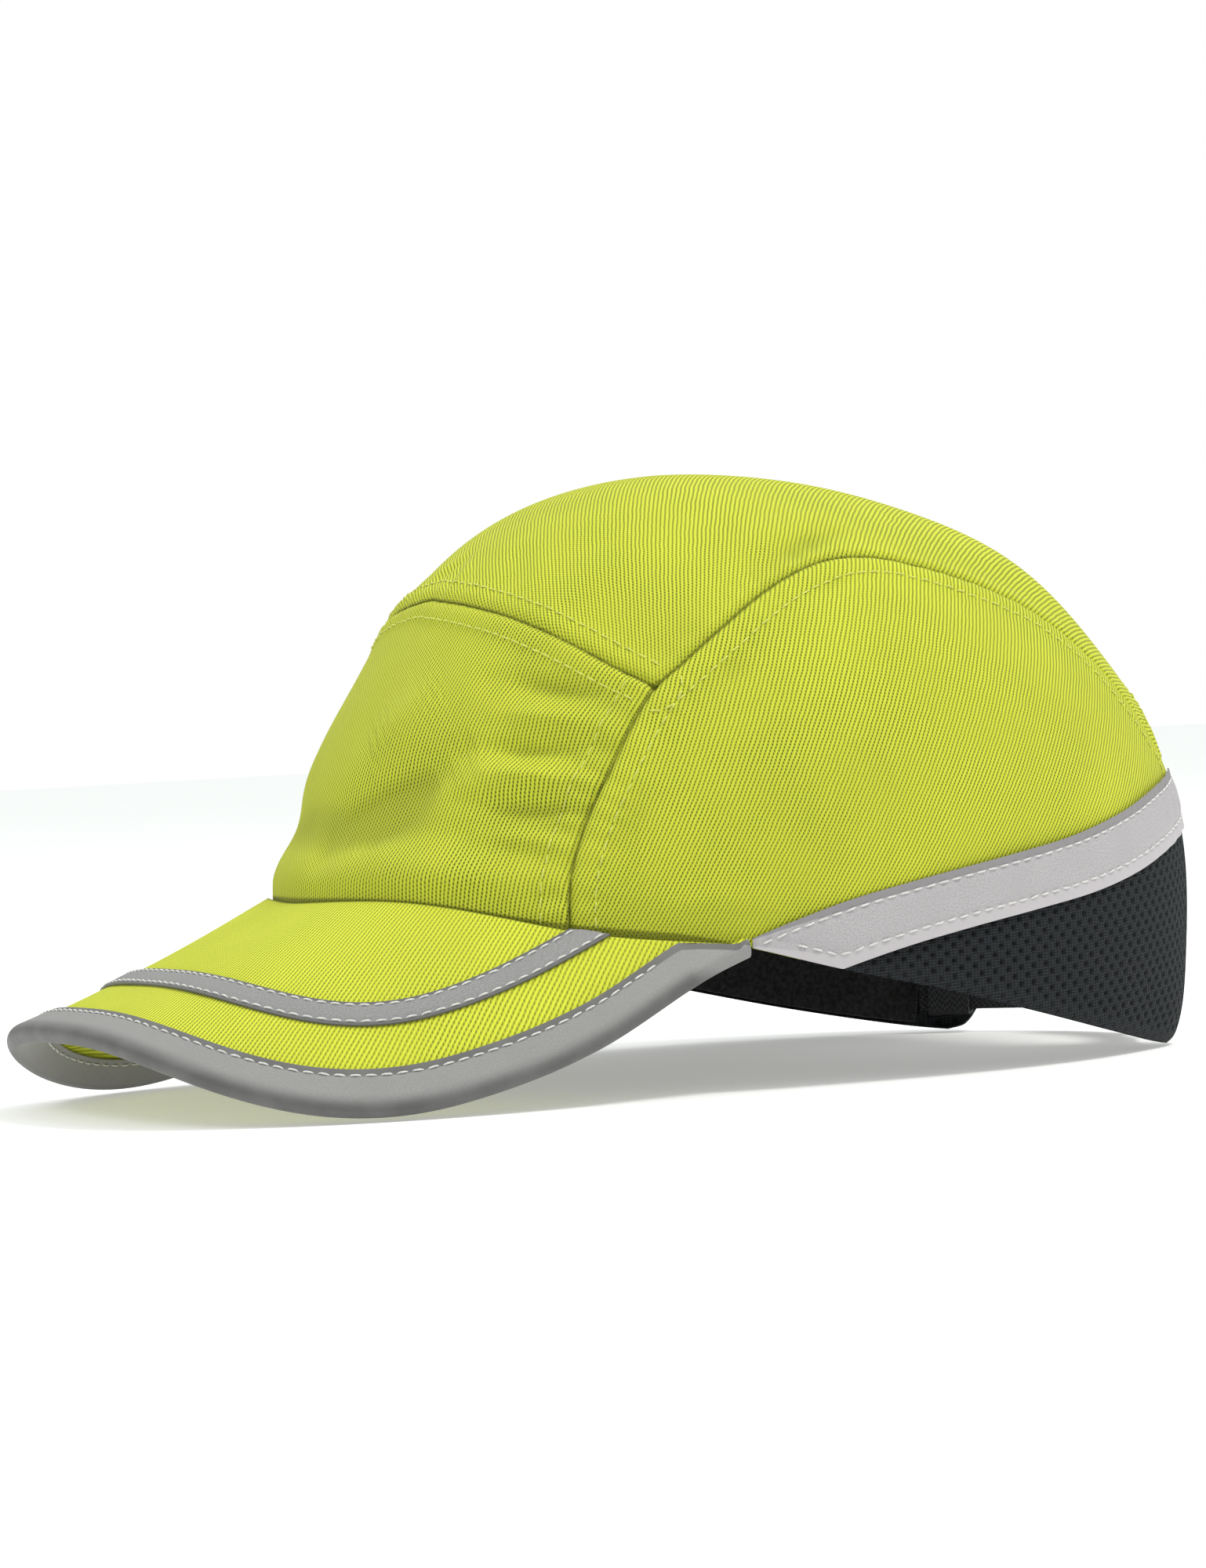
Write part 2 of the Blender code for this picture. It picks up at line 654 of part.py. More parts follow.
def build_right_strap(strap_heights, patch_heights, webbing, hook):
    """The strap that slides in the channel, and its tail with the hook patch."""
    size = (STRAP_OUTER, STRAP, strap_heights, webbing)
    root = np.linspace(ROOT_START, TAIL_ROOT - HINGE_GAP, 6)
    arc_piece("strap_right_root", root, *size, pivot=(0, ARC_CENTRE, 0))
    hinge = at_angle(TAIL_ROOT, STRAP_OUTER)
    tail = np.linspace(TAIL_ROOT + HINGE_GAP, TAIL_END, 12)
    arc_piece("strap_right_tail", tail, *size, pivot=hinge)
    patch_face = STRAP_OUTER - STRAP - GAP
    angles = np.linspace(*HOOK_SPAN, 6)
    arc_piece("hook_patch", angles, patch_face, PATCH, patch_heights, hook, pivot=hinge)


def build_left_strap(strap_heights, patch_heights, webbing, loop):
    """The strap under the tail, which steps inwards from its sewn end."""
    loop_face = STRAP_OUTER - STRAP - PATCH - 2 * GAP
    strap_face = loop_face - PATCH - GAP
    hinge = at_angle(LEFT_ROOT, LEFT_ROOT_RADIUS)
    angles = np.linspace(*LOOP_SPAN, 9)
    arc_piece("loop_patch", angles, loop_face, PATCH, patch_heights, loop, pivot=hinge)
    angles = np.linspace(LEFT_END, LEFT_ROOT, 16)
    ramp = np.clip((angles - LEFT_RAMP) / (LEFT_ROOT - LEFT_RAMP), 0, 1)
    radius = strap_face + (LEFT_ROOT_RADIUS - strap_face) * (3 - 2 * ramp) * ramp**2
    arc_piece("strap_left", angles, radius, STRAP, strap_heights, webbing, pivot=hinge)


def channel_section(room):
    """The corners (radius, height) of the strap's section, grown by room."""
    inner, outer = STRAP_OUTER - STRAP - room, STRAP_OUTER + room
    low, high = STRAP_BOTTOM - room, STRAP_BOTTOM + STRAP_HEIGHT + room
    return [(inner, low), (outer, low), (outer, high), (inner, high)]


def build_channel(webbing):
    """The sleeve inside the right of the hem that the strap slides in."""
    sleeve = channel_section(CHANNEL_ROOM + CHANNEL_WALL) + channel_section(CHANNEL_ROOM)
    points = np.array(
        [[at_angle(angle, *corner) for corner in sleeve] for angle in np.linspace(*CHANNEL_SPAN, 4)]
    )
    faces = []
    for s in range(len(points) - 1):
        a, b = 8 * s, 8 * (s + 1)
        for c, d in ring_pairs(4):
            faces += [[a + c, a + d, b + d, b + c], [a + 4 + c, a + 4 + d, b + 4 + d, b + 4 + c]]
    for s in (0, len(points) - 1):
        faces += [[8 * s + c, 8 * s + d, 8 * s + 4 + d, 8 * s + 4 + c] for c, d in ring_pairs(4)]
    add_object("strap_channel", points.reshape(-1, 3), faces, webbing)


def main():
    for old in list(bpy.data.objects):
        bpy.data.objects.remove(old)
    lime = material("lime_twill", LIME, sheen=0.3)
    tape = material("grey_reflective", GREY, 0.5)
    mesh = material("black_mesh", BLACK, sheen=0.2)
    lining = material("lining_tape", (0.03, 0.03, 0.035))
    build_cover(lime, mesh, tape, lining)
    build_band(material("sweatband_cloth", (0.02, 0.02, 0.022)), lining)
    build_visor(lime, material("visor_plastic", (0.75, 0.75, 0.72), 0.5), tape)
    build_shell(material("shell_plastic", (0.02, 0.02, 0.022), 0.35), material("trim_cloth", BLACK))
    hook = material("hook_tape", (0.02, 0.02, 0.02))
    loop = material("loop_tape", (0.03, 0.03, 0.03))
    build_pads(material("pad_foam", (0.05, 0.05, 0.055)), hook, loop)
    build_straps(material("strap_webbing", (0.02, 0.021, 0.024)), hook, loop)


main()
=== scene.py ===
import math

import bpy
import numpy as np
from mathutils import Matrix, Vector


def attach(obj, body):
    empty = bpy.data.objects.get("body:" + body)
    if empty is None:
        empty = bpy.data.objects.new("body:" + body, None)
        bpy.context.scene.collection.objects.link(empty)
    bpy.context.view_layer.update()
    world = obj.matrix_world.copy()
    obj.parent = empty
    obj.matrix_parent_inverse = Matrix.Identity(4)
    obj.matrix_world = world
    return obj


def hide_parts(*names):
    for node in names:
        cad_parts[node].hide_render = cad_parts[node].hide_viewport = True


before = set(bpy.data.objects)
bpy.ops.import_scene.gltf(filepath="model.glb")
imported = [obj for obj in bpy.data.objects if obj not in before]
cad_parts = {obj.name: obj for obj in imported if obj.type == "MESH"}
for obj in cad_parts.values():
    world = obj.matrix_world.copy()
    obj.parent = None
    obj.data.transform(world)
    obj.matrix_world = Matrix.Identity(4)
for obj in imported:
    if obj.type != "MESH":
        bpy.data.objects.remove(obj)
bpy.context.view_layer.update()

# The looks of a hi-vis bump cap. Shapes are worked out in millimetres, on the same crown and
# visor surfaces as the CAD model. Azimuth -90 is the front of the cap, 0 the wearer's left and 90
# the rear.

MM = 0.001
ORIGIN = np.array([0, -33.45, 0])
LEFT = np.array([1.0, 1.0, 1.0])
RIGHT = np.array([-1.0, 1.0, 1.0])
SIDES = (("left", LEFT), ("right", RIGHT))

# Crown
HALF_WIDTH = 90.0
HALF_LENGTH = 109.5
CROWN_RISE = 101.8
WIDEST_HEIGHT = 34.64
PLAN_POWER = 2.04
SIDE_POWER = 2.29
FRONT_POWER = 1.80
REAR_POWER = 1.99
TOP_FORWARD = 15.2
REAR_TILT = 0.035
FRONT_FLATNESS = 3.4
FRONT_FLAT_START = 9.0
FRONT_FLAT_SPREAD = 52.0
INSERT_FLATNESS = 3.6
INSERT_FLAT_SPREAD = 85.0
INSERT_FLAT_TOP = 78.0
INSERT_FLAT_FADE = 38.0
MEAN_RADIUS = 100.0

# Seams and edges as (azimuth, elevation)
VISOR_CORNER = -48.0
TOP_CORNER = -34.6
OPENING_EDGE = 63.2
HEM_END = 58.4
MESH_FRONT_AZIMUTH = -14.0
TAPE_FRONT_AZIMUTH = -24.8
RIM = (
    (-112, 6.3), (-90, 6.9), (-68, 6.3), (-48, 2.6), (-30, -0.6), (-12, -6.3), (4, -10.8),
    (18, -14.7), (36, -18.8), (50, -20.9), (70, -21.6), (90, -21.6),
)
FRONT_SEAM = (
    (-48, 1.3), (-48, 2.6), (-47.3, 10), (-44.9, 17.4), (-41.9, 22.8), (-38.2, 28.8),
    (-34.6, 33.5),
)
SIDE_SEAM = (
    (-34.6, 33.5), (-23.7, 41), (-12.6, 47.1), (-5, 49.9), (5, 51.9), (16, 51.6), (26.5, 48.6),
    (36.7, 44.4), (45.5, 39.2), (51, 33.5), (55.5, 27), (59.5, 20), (63.2, 13.6),
)
FRONT_TOP = ((0, 50.6), (16, 48.6), (31, 45), (41.5, 40.8), (49.5, 36.6), (55.4, 33.5))
TAPE_TOP = (
    (-26, -1.1), (-19.7, 0.9), (-11, 3.2), (-1.8, 4.8), (16, 7), (26.4, 8.1), (39.5, 10.1),
    (49, 11.8), (64, 13.6),
)
TAPE_BOTTOM = (
    (-26, -9.8), (-12.2, -6), (-3, -4), (8, -2.3), (20, -0.9), (31, 0.3), (41, 1.9), (50, 3.7),
    (64, 6.2),
)
OPENING_TOP = ((63.2, 13.6), (65.5, 18), (70, 21.3), (78, 23.6), (90, 24.6))
MESH_REAR = ((58.4, -21.2), (60.8, -20.4), (62.4, -18), (62.9, -14), (63.2, 0), (63.2, 9.7))

# Visor
VISOR_ROOT_HEIGHT = 42.24
VISOR_SLOPE = 0.479
VISOR_LIFT = 0.0013
VISOR_ARCH = 50.0
VISOR_ARCH_GROWTH = 0.0614
VISOR_ARCH_POWER = 2.9
VISOR_ARCH_WIDTH = 88.0
VISOR_ROOT = -108.3
VISOR_HALF_WIDTH = 85.9
VISOR_REACH = 136.3
VISOR_BACK = -31.1
VISOR_POWER = 3.0
VISOR_END = -40.0
FOOT_DROP = 1.3
BOARD_HALF = 0.7
COVER_INNER = 1.0
COVER_OUTER = 1.5
BINDING_WIDTH = 8.2
BINDING_OUTER = 2.4
BINDING_INNER = 1.9
BINDING_STITCH = 6.5
CORNER_LIFT = 2.2
CORNER_TAPER = 1.5
STRIP_BACK_EDGE = (67.5, 69.5, -70.0)
STRIP_FRONT_EDGE = (72.5, 86.5, -60.0)
STRIP_ROOTS = (-74.4, -67.0)
STRIP_WIDTH = 5.0

# Insert and strap
SHELL_RIM = ((0, 24.5), (45, 22.5), (90, 19.5), (135, 24), (180, 28))
PADS = {
    "front_pad": (-90, 34, 30, 52),
    "left_side_pad": (0, 34, 27, 46),
    "right_side_pad": (180, 34, 27, 46),
    "rear_pad": (90, 30, 33, 54),
}
CROWN_PAD_EDGE = 64.0
DOT_EDGE = 82.5
CROWN_MIDDLE = 89.6
SHELL_TOP = 89.0
SHELL_COLUMNS = 40
SHELL_ROWS = 8
SHELL_FACES = (-4.8, -6.8)
PAD_FACES = (-8.0, -11.6)
ARC_CENTRE = 35.5
STRAP_BOTTOM = 4.5
STRAP_HEIGHT = 23.0
STRAP_OUTER = 67.2
STRAP = 1.2

# Sewing
CLOTH = 0.8
MESH_CLOTH = 0.7
DEEPEST_HOLLOW = -1.6
MM_PER_DEGREE = 1.9
TOPSTITCH = 6.0
FRONT_TOPSTITCH = 5.0
OPENING_STITCH = 5.0
TAPE_WIDTH = 13.7
TAPE_STITCH_LOW = 3.0
TAPE_STITCH_HIGH = 2.0
TWILL_PITCH = 0.95
YARN_PITCH = 0.85
HOLE_PITCH = 4.0
HOLE_ROW = 2.0

# Linear colours
LIME = (0.60, 0.64, 0.044)
# Painted shade seen in the twill's holes between its yarns
LIME_HOLE_SHADE = (0.030, 0.060, 0.004)
LIME_THREAD = (0.66, 0.70, 0.12)
TAPE_GREY = (0.44, 0.415, 0.435)
BINDING_GREY = (0.27, 0.265, 0.265)
STRIP_GREY = (0.25, 0.245, 0.25)
WHITE_THREAD = (0.72, 0.72, 0.70)
MESH_BLACK = (0.012, 0.0145, 0.017)
WEBBING_BLACK = (0.020, 0.021, 0.024)

# Points handled at once when distances are measured
BLOCK = 4000

RANDOM = np.random.default_rng(7)


# ---------------------------------------------------------------- surfaces

def smooth(x, knots):
    """A smooth curve through the knots, read at x."""
    xs, ys = np.array(knots, float).T
    slopes = np.gradient(ys, xs)
    x = np.clip(np.asarray(x, float), xs[0], xs[-1])
    i = np.clip(np.searchsorted(xs, x) - 1, 0, len(xs) - 2)
    span = xs[i + 1] - xs[i]
    t = (x - xs[i]) / span
    rise = (3 - 2 * t) * t * t
    bend = t * (1 - t) * span * ((1 - t) * slopes[i] - t * slopes[i + 1])
    return ys[i] + (ys[i + 1] - ys[i]) * rise + bend


def direction(azimuth, elevation):
    azimuth, elevation = np.broadcast_arrays(np.radians(azimuth), np.radians(elevation))
    flat = np.cos(elevation)
    return np.stack([flat * np.cos(azimuth), flat * np.sin(azimuth), np.sin(elevation)], -1)


def unit(vectors):
    return vectors / np.linalg.norm(vectors, axis=-1, keepdims=True)


def front_angles(d):
    """Degrees round from the front and up from the widest level."""
    off_front = np.degrees(np.arctan2(np.abs(d[..., 0]), -d[..., 1]))
    return off_front, np.degrees(np.arcsin(np.clip(d[..., 2], -1, 1)))


def front_flatness(d):
    """How far the front panel lies inside the round crown, in millimetres."""
    off_front, elevation = front_angles(d)
    top = smooth(off_front, FRONT_TOP)
    v = np.clip((elevation - FRONT_FLAT_START) / (top - FRONT_FLAT_START), 0, 1)
    fade = np.clip(1 - (off_front / FRONT_FLAT_SPREAD) ** 4, 0, 1)
    return FRONT_FLATNESS * 4 * v * (1 - v) * fade


def insert_flatness(d):
    """The same for the insert, whose front is flattened more broadly."""
    off_front, elevation = front_angles(d)
    around = np.clip(1 - (off_front / INSERT_FLAT_SPREAD) ** 2, 0, 1) ** 2
    up = np.clip((INSERT_FLAT_TOP - elevation) / INSERT_FLAT_FADE, 0, 1)
    return INSERT_FLATNESS * around * up * up * (3 - 2 * up)


def crown_point(d, flatness=front_flatness):
    """The crown's surface in the given directions from its centre."""
    plan = np.hypot(d[..., 0], d[..., 1]) + 1e-9
    facing = d[..., 1] / plan
    end_power = np.where(facing < 0, FRONT_POWER, REAR_POWER)
    power = SIDE_POWER + (end_power - SIDE_POWER) * facing**2
    across = np.abs(d[..., 0] / HALF_WIDTH) ** PLAN_POWER
    along = np.abs(d[..., 1] / HALF_LENGTH) ** PLAN_POWER
    spread = (across + along) ** (1 / PLAN_POWER)
    climb = np.abs(d[..., 2] / CROWN_RISE)
    reach = (spread**power + climb**power) ** (-1 / power) - flatness(d)
    x, y, z = np.moveaxis(d * reach[..., None], -1, 0)
    y = y - TOP_FORWARD * (np.clip(z, 0, None) / CROWN_RISE) ** 2
    return np.stack([x, y, WIDEST_HEIGHT + z + REAR_TILT * y], -1)


def crown_normal(d, flatness=front_flatness):
    helper = np.where(np.abs(d[..., 2:]) < 0.9, [0.0, 0.0, 1.0], [1.0, 0.0, 0.0])
    first = unit(np.cross(helper, d))
    second = np.cross(d, first)
    step = 0.004
    run, rise = (
        crown_point(unit(d + step * way), flatness) - crown_point(unit(d - step * way), flatness)
        for way in (first, second)
    )
    return unit(np.cross(run, rise))


def crown_layer(d, offset, flatness=front_flatness):
    offset = np.asarray(offset, float)
    offset = offset[..., None] if offset.ndim else offset
    return crown_point(d, flatness) + offset * crown_normal(d, flatness)


def spline(knots):
    """A curve of directions through (azimuth, elevation) knots, read at 0 to 1."""
    points = np.array(knots, float)
    steps = np.hypot(*np.diff(points, axis=0).T)
    place = np.concatenate([[0], np.cumsum(steps)]) / steps.sum()

    def at(t):
        azimuth = smooth(t, list(zip(place, points[:, 0])))
        return direction(azimuth, smooth(t, list(zip(place, points[:, 1]))))

    return at


def near_side(azimuth):
    """The azimuth on the left side that mirrors the given one."""
    turn = np.radians(azimuth)
    return np.degrees(np.arctan2(np.sin(turn), np.abs(np.cos(turn))))


def rim_elevation(azimuth):
    return smooth(near_side(azimuth), RIM)


def line(start, end, elevation):
    """A curve of directions between two azimuths, at the elevation that a function gives."""
    def at(t):
        azimuth = start + (end - start) * np.asarray(t, float)
        return direction(azimuth, elevation(azimuth))

    return at


def tape_middle(azimuth):
    return (smooth(azimuth, TAPE_TOP) + smooth(azimuth, TAPE_BOTTOM)) / 2


def foot_elevation(azimuth):
    """The crown's lower edge, which runs down behind the visor's root."""
    return rim_elevation(azimuth) - FOOT_DROP * (1 - step_up(near_side(azimuth), -36, -26))


def side_bottom(azimuth):
    rim = foot_elevation(azimuth)
    return np.where(azimuth < -18, rim, np.maximum(tape_middle(azimuth), rim))


def front_top_elevation(azimuth):
    return smooth(np.abs(azimuth + 90), FRONT_TOP)


def across(curve):
    def at(t):
        return curve(t) * RIGHT

    return at


def opening_arch(t):
    arch = spline(OPENING_TOP)
    t = np.asarray(t, float)
    right_half = arch(np.clip(2 * t, 0, 1)) * RIGHT
    left_half = arch(np.clip(2 - 2 * t, 0, 1))
    return np.where(t[..., None] < 0.5, right_half, left_half)


def mesh_front(t):
    low, high = rim_elevation(MESH_FRONT_AZIMUTH), tape_middle(MESH_FRONT_AZIMUTH) - 0.1
    return direction(MESH_FRONT_AZIMUTH, low + (high - low) * np.asarray(t, float))


def patch(bottom, top, left, right, columns, rows):
    """A grid of directions inside four curves."""
    u = np.linspace(0, 1, columns + 1)
    v = np.linspace(0, 1, rows + 1)[:, None]
    low, high = bottom(u)[None], top(u)[None]
    first, last = left(v[:, 0])[:, None], right(v[:, 0])[:, None]
    w, h = u[None, :, None], v[..., None]
    ends = (1 - h) * ((1 - w) * bottom(0.0) + w * bottom(1.0))
    ends = ends + h * ((1 - w) * top(0.0) + w * top(1.0))
    return unit((1 - h) * low + h * high + (1 - w) * first + w * last - ends)


def step_up(x, low, high):
    """0 up to low and 1 from high onwards, with a soft rise between."""
    t = np.clip((x - low) / (high - low), 0, 1)
    return t * t * (3 - 2 * t)


def visor_height(x, y):
    ahead = VISOR_ROOT - y
    arch = VISOR_ARCH + VISOR_ARCH_GROWTH * ahead
    fall = arch * np.abs(x / VISOR_ARCH_WIDTH) ** VISOR_ARCH_POWER
    corner = CORNER_LIFT * step_up(np.abs(x), 62, 84) * step_up(y, -92, -48)
    slope = VISOR_SLOPE * ahead - VISOR_LIFT * ahead * np.abs(ahead)
    return VISOR_ROOT_HEIGHT - fall - slope + corner


def visor_normal(x, y):
    step = 0.5
    slope_x = (visor_height(x + step, y) - visor_height(x - step, y)) / (2 * step)
    slope_y = (visor_height(x, y + step) - visor_height(x, y - step)) / (2 * step)
    return unit(np.stack([-slope_x, -slope_y, np.ones_like(slope_x)], -1))


def visor_layer(plan, offset):
    x, y = plan[..., 0], plan[..., 1]
    offset = np.asarray(offset, float)
    offset = offset[..., None] if offset.ndim else offset
    return np.stack([x, y, visor_height(x, y)], -1) + offset * visor_normal(x, y)


def lengths_along(path):
    """How far along a path each of its points is."""
    return np.concatenate([[0], np.cumsum(np.linalg.norm(np.diff(path, axis=0), axis=1))])


def even(points, count):
    """The same path with evenly spaced points."""
    place = lengths_along(points)
    wanted = np.linspace(0, place[-1], count)
    return np.stack([np.interp(wanted, place, column) for column in points.T], -1)


def rounded_front(half_width, reach, back, end, count):
    turn = np.linspace(0, math.pi, 4001)
    x = half_width * np.sign(np.cos(turn)) * np.abs(np.cos(turn)) ** (2 / VISOR_POWER)
    y = back - reach * np.sin(turn) ** (2 / VISOR_POWER)
    points = np.stack([x, y], -1)
    return even(points[points[:, 1] <= end], count)


def visor_edge(inset, count):
    """The visor's outline in plan, drawn in a little towards its corners."""
    sizes = (VISOR_HALF_WIDTH - inset, VISOR_REACH - inset, VISOR_BACK, VISOR_END)
    edge = rounded_front(*sizes, count)
    edge[:, 0] -= CORNER_TAPER * np.sign(edge[:, 0]) * step_up(edge[:, 1], -78, -44)
    return edge


# ---------------------------------------------------------------- meshes

def link(made):
    bpy.context.scene.collection.objects.link(made)


def add_piece(name, points, faces, finish, body, node=None, uv=None, sharp=50):
    """A mesh that rides on a body, with its cloth coordinates in millimetres."""
    mesh = bpy.data.meshes.new(name)
    mesh.from_pydata(((points - ORIGIN) * MM).tolist(), [], faces)
    mesh.shade_smooth()
    mesh.set_sharp_from_angle(angle=math.radians(sharp))
    if uv is not None:
        layer = mesh.uv_layers.new(name="Cloth")
        corner = np.empty(len(mesh.loops), np.int32)
        mesh.loops.foreach_get("vertex_index", corner)
        layer.data.foreach_set("uv", uv[corner].astype(np.float32).ravel())
    mesh.materials.append(finish)
    made = bpy.data.objects.new(name, mesh)
    link(made)
    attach(made, body)
    if node:
        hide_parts(node)
    return made


def grid_faces(rows, columns, closed=False):
    """Faces of a thick sheet: its outer grid, its inner grid and the rim between them."""
    index = np.arange(rows * columns).reshape(rows, columns)
    if closed:
        index = np.concatenate([index, index[:, :1]], axis=1)
    count = rows * columns
    a, b, c, d = index[:-1, :-1], index[:-1, 1:], index[1:, 1:], index[1:, :-1]
    outer = np.stack([a, b, c, d], -1).reshape(-1, 4)
    parts = [outer, outer[:, ::-1] + count]
    rims = [(index[0, 1:], index[0, :-1]), (index[-1, :-1], index[-1, 1:])]
    if not closed:
        rims += [(index[:-1, 0], index[1:, 0]), (index[1:, -1], index[:-1, -1])]
    for first, second in rims:
        parts.append(np.stack([first, second, second + count, first + count], -1))
    return np.concatenate(parts)


def thick_sheet(name, outer, inner, finish, body, slot, node, uv=None, closed=False):
    """A piece between two grids of points, which replaces one CAD node."""
    rows, columns = outer.shape[:2]
    faces = grid_faces(rows, columns, closed)
    run, rise = outer[0, 1] - outer[0, 0], outer[1, 0] - outer[0, 0]
    if np.dot(np.cross(run, rise), outer[0, 0] - inner[0, 0]) < 0:
        faces = faces[:, ::-1]
    points = np.concatenate([outer.reshape(-1, 3), inner.reshape(-1, 3)])
    if uv is None:
        uv = surface_lengths(outer)
    uv = np.tile(uv.reshape(-1, 2), (2, 1))
    return add_piece(name, points, faces.tolist(), finish, body, node, uv)


def crown_sheet(name, d, offsets, finish, body, slot, node, flatness=front_flatness, **more):
    """A sheet between two offsets from the crown."""
    outer, inner = (crown_layer(d, offset, flatness) for offset in offsets)
    return thick_sheet(name, outer, inner, finish, body, slot, node, **more)


def surface_lengths(grid):
    """Cloth coordinates as lengths along the grid's middle row and up its columns."""
    up = np.linalg.norm(np.diff(grid, axis=0), axis=-1)
    u = lengths_along(grid[len(grid) // 2])
    v = np.concatenate([np.zeros((1, grid.shape[1])), np.cumsum(up, axis=0)])
    return np.stack([np.broadcast_to(u, v.shape), v], -1)


def cloth_coordinates(d, middle, right):
    """Lengths on the crown measured out from the middle of a panel, as if it were laid flat."""
    right = unit(np.asarray(right, float) - np.dot(right, middle) * middle)
    up = np.cross(middle, right)
    angle = np.arccos(np.clip(d @ middle, -1, 1))
    flat = np.stack([d @ right, d @ up], -1)
    size = np.linalg.norm(flat, axis=-1, keepdims=True) + 1e-9
    return MEAN_RADIUS * angle[..., None] * flat / size


def distance_to(points, path):
    """Distance from each point to a path, and how far along the path the nearest place is."""
    flat = points.reshape(-1, 3).astype(np.float32)
    place = lengths_along(path)
    path = path.astype(np.float32)
    nearest = np.empty(len(flat))
    along = np.empty(len(flat))
    for start in range(0, len(flat), BLOCK):
        part = slice(start, start + BLOCK)
        gap = np.linalg.norm(flat[part, None] - path[None], axis=2)
        best = gap.argmin(axis=1)
        nearest[part] = gap[np.arange(len(gap)), best]
        along[part] = place[best]
    return nearest.reshape(points.shape[:-1]), along.reshape(points.shape[:-1])


def dense(path, step=0.6):
    """A path with a point every step millimetres."""
    length = np.linalg.norm(np.diff(path, axis=0), axis=1).sum()
    return even(path, int(length / step) + 2)


def bell(x, width):
    return np.exp(-((x / width) ** 2))


def seam_relief(distance, along, stitch, pucker):
    """Cloth dips into a seam, stands over its folded edge and is drawn down by the stitching."""
    dip = -0.85 * bell(distance, 0.9)
    edge = step_up(distance, 0.4, 1.6) * (1 - step_up(distance, stitch - 0.2, stitch + 1.6))
    fold = 0.35 * edge
    groove = -0.22 * bell(distance - stitch, 0.55)
    wave = np.sin(along * 1.13 + 1.7 * np.sin(along * 0.21)) + 0.5 * np.sin(along * 0.47)
    return dip + fold + groove + pucker * wave * bell(distance - stitch * 0.7, 4.2)


def crease(points, start, end, width, height):
    """A soft ridge between two (azimuth, elevation) places, or a hollow if height is negative."""
    t = np.linspace(0, 1, 24)[:, None]
    ends = np.array([start, end], float)
    path = crown_point(direction(*(ends[0] + (ends[1] - ends[0]) * t).T))
    distance, along = distance_to(points, path)
    share = along / np.linalg.norm(np.diff(path, axis=0), axis=1).sum()
    return height * bell(distance, width) * np.sin(math.pi * np.clip(share, 0.12, 0.88)) ** 1.2


def inset_line(points, normals, distance, stitch, others, clear=1.5):
    """The line that runs a set distance from a grid's first row and clear of its other edges."""
    found = []
    for c in range(points.shape[1]):
        rows = np.nonzero(distance[:, c] >= stitch)[0]
        if not len(rows) or rows[0] == 0:
            continue
        r = rows[0]
        share = (stitch - distance[r - 1, c]) / (distance[r, c] - distance[r - 1, c])
        if min([other[r, c] for other in others] or [clear]) < clear:
            continue
        place = points[r - 1, c] * (1 - share) + points[r, c] * share
        found.append(np.concatenate([place, normals[r, c]]))
    return np.array(found)


# ---------------------------------------------------------------- stitches

def stitch_points(row, length, gap, radius):
    """Vertices of one row of stitches: each rises from the cloth and dips back into it."""
    places, normals = row[:, :3], row[:, 3:]
    place = lengths_along(places)
    count = int(place[-1] / (length + gap))
    middle = (np.arange(count) + 0.5) * place[-1] / max(count, 1)

    def read(values, s):
        return np.stack([np.interp(s, place, column) for column in values.T], -1)

    centre, normal = read(places, middle), unit(read(normals, middle))
    forward = unit(read(places, middle + 0.4 * length) - read(places, middle - 0.4 * length))
    side = unit(np.cross(normal, forward))
    forward = unit(forward + side * RANDOM.normal(0, 0.05, (count, 1)))
    share = np.array([-1, -0.82, -0.4, 0, 0.4, 0.82, 1.0])
    thick = np.array([0.35, 0.75, 1, 1, 1, 0.75, 0.35]) * radius
    lift = radius * 0.9 * (1 - 1.5 * share**4)
    turn = np.arange(6) * math.pi / 3
    ring = side[:, None, None] * (np.cos(turn)[:, None] * thick[:, None, None])
    ring = ring + normal[:, None, None] * (np.sin(turn)[:, None] * thick[:, None, None])
    spine = forward[:, None] * (share * length / 2)[:, None] + normal[:, None] * lift[:, None]
    return (centre[:, None] + spine)[:, :, None] + ring


def add_stitches(name, rows, finish, body, length=2.5, gap=0.8, radius=0.24):
    """One piece with all the stitches of the given rows."""
    blocks = [stitch_points(row, length, gap, radius) for row in rows if len(row) > 3]
    points = np.concatenate(blocks)
    rings, sides = points.shape[1:3]
    size = rings * sides
    single = []
    for start in range(0, size - sides, sides):
        for s in range(sides):
            a, b = start + s, start + (s + 1) % sides
            single.append([a, b, b + sides, a + sides])
    single += [list(range(sides))[::-1], list(range(size - sides, size))]
    faces = [[k * size + i for i in face] for k in range(len(points)) for face in single]
    uv = np.tile(np.stack([np.arange(size), np.zeros(size)], -1), (len(points), 1))
    return add_piece(name, points.reshape(-1, 3), faces, finish, body, uv=uv, sharp=80)


# ---------------------------------------------------------------- materials

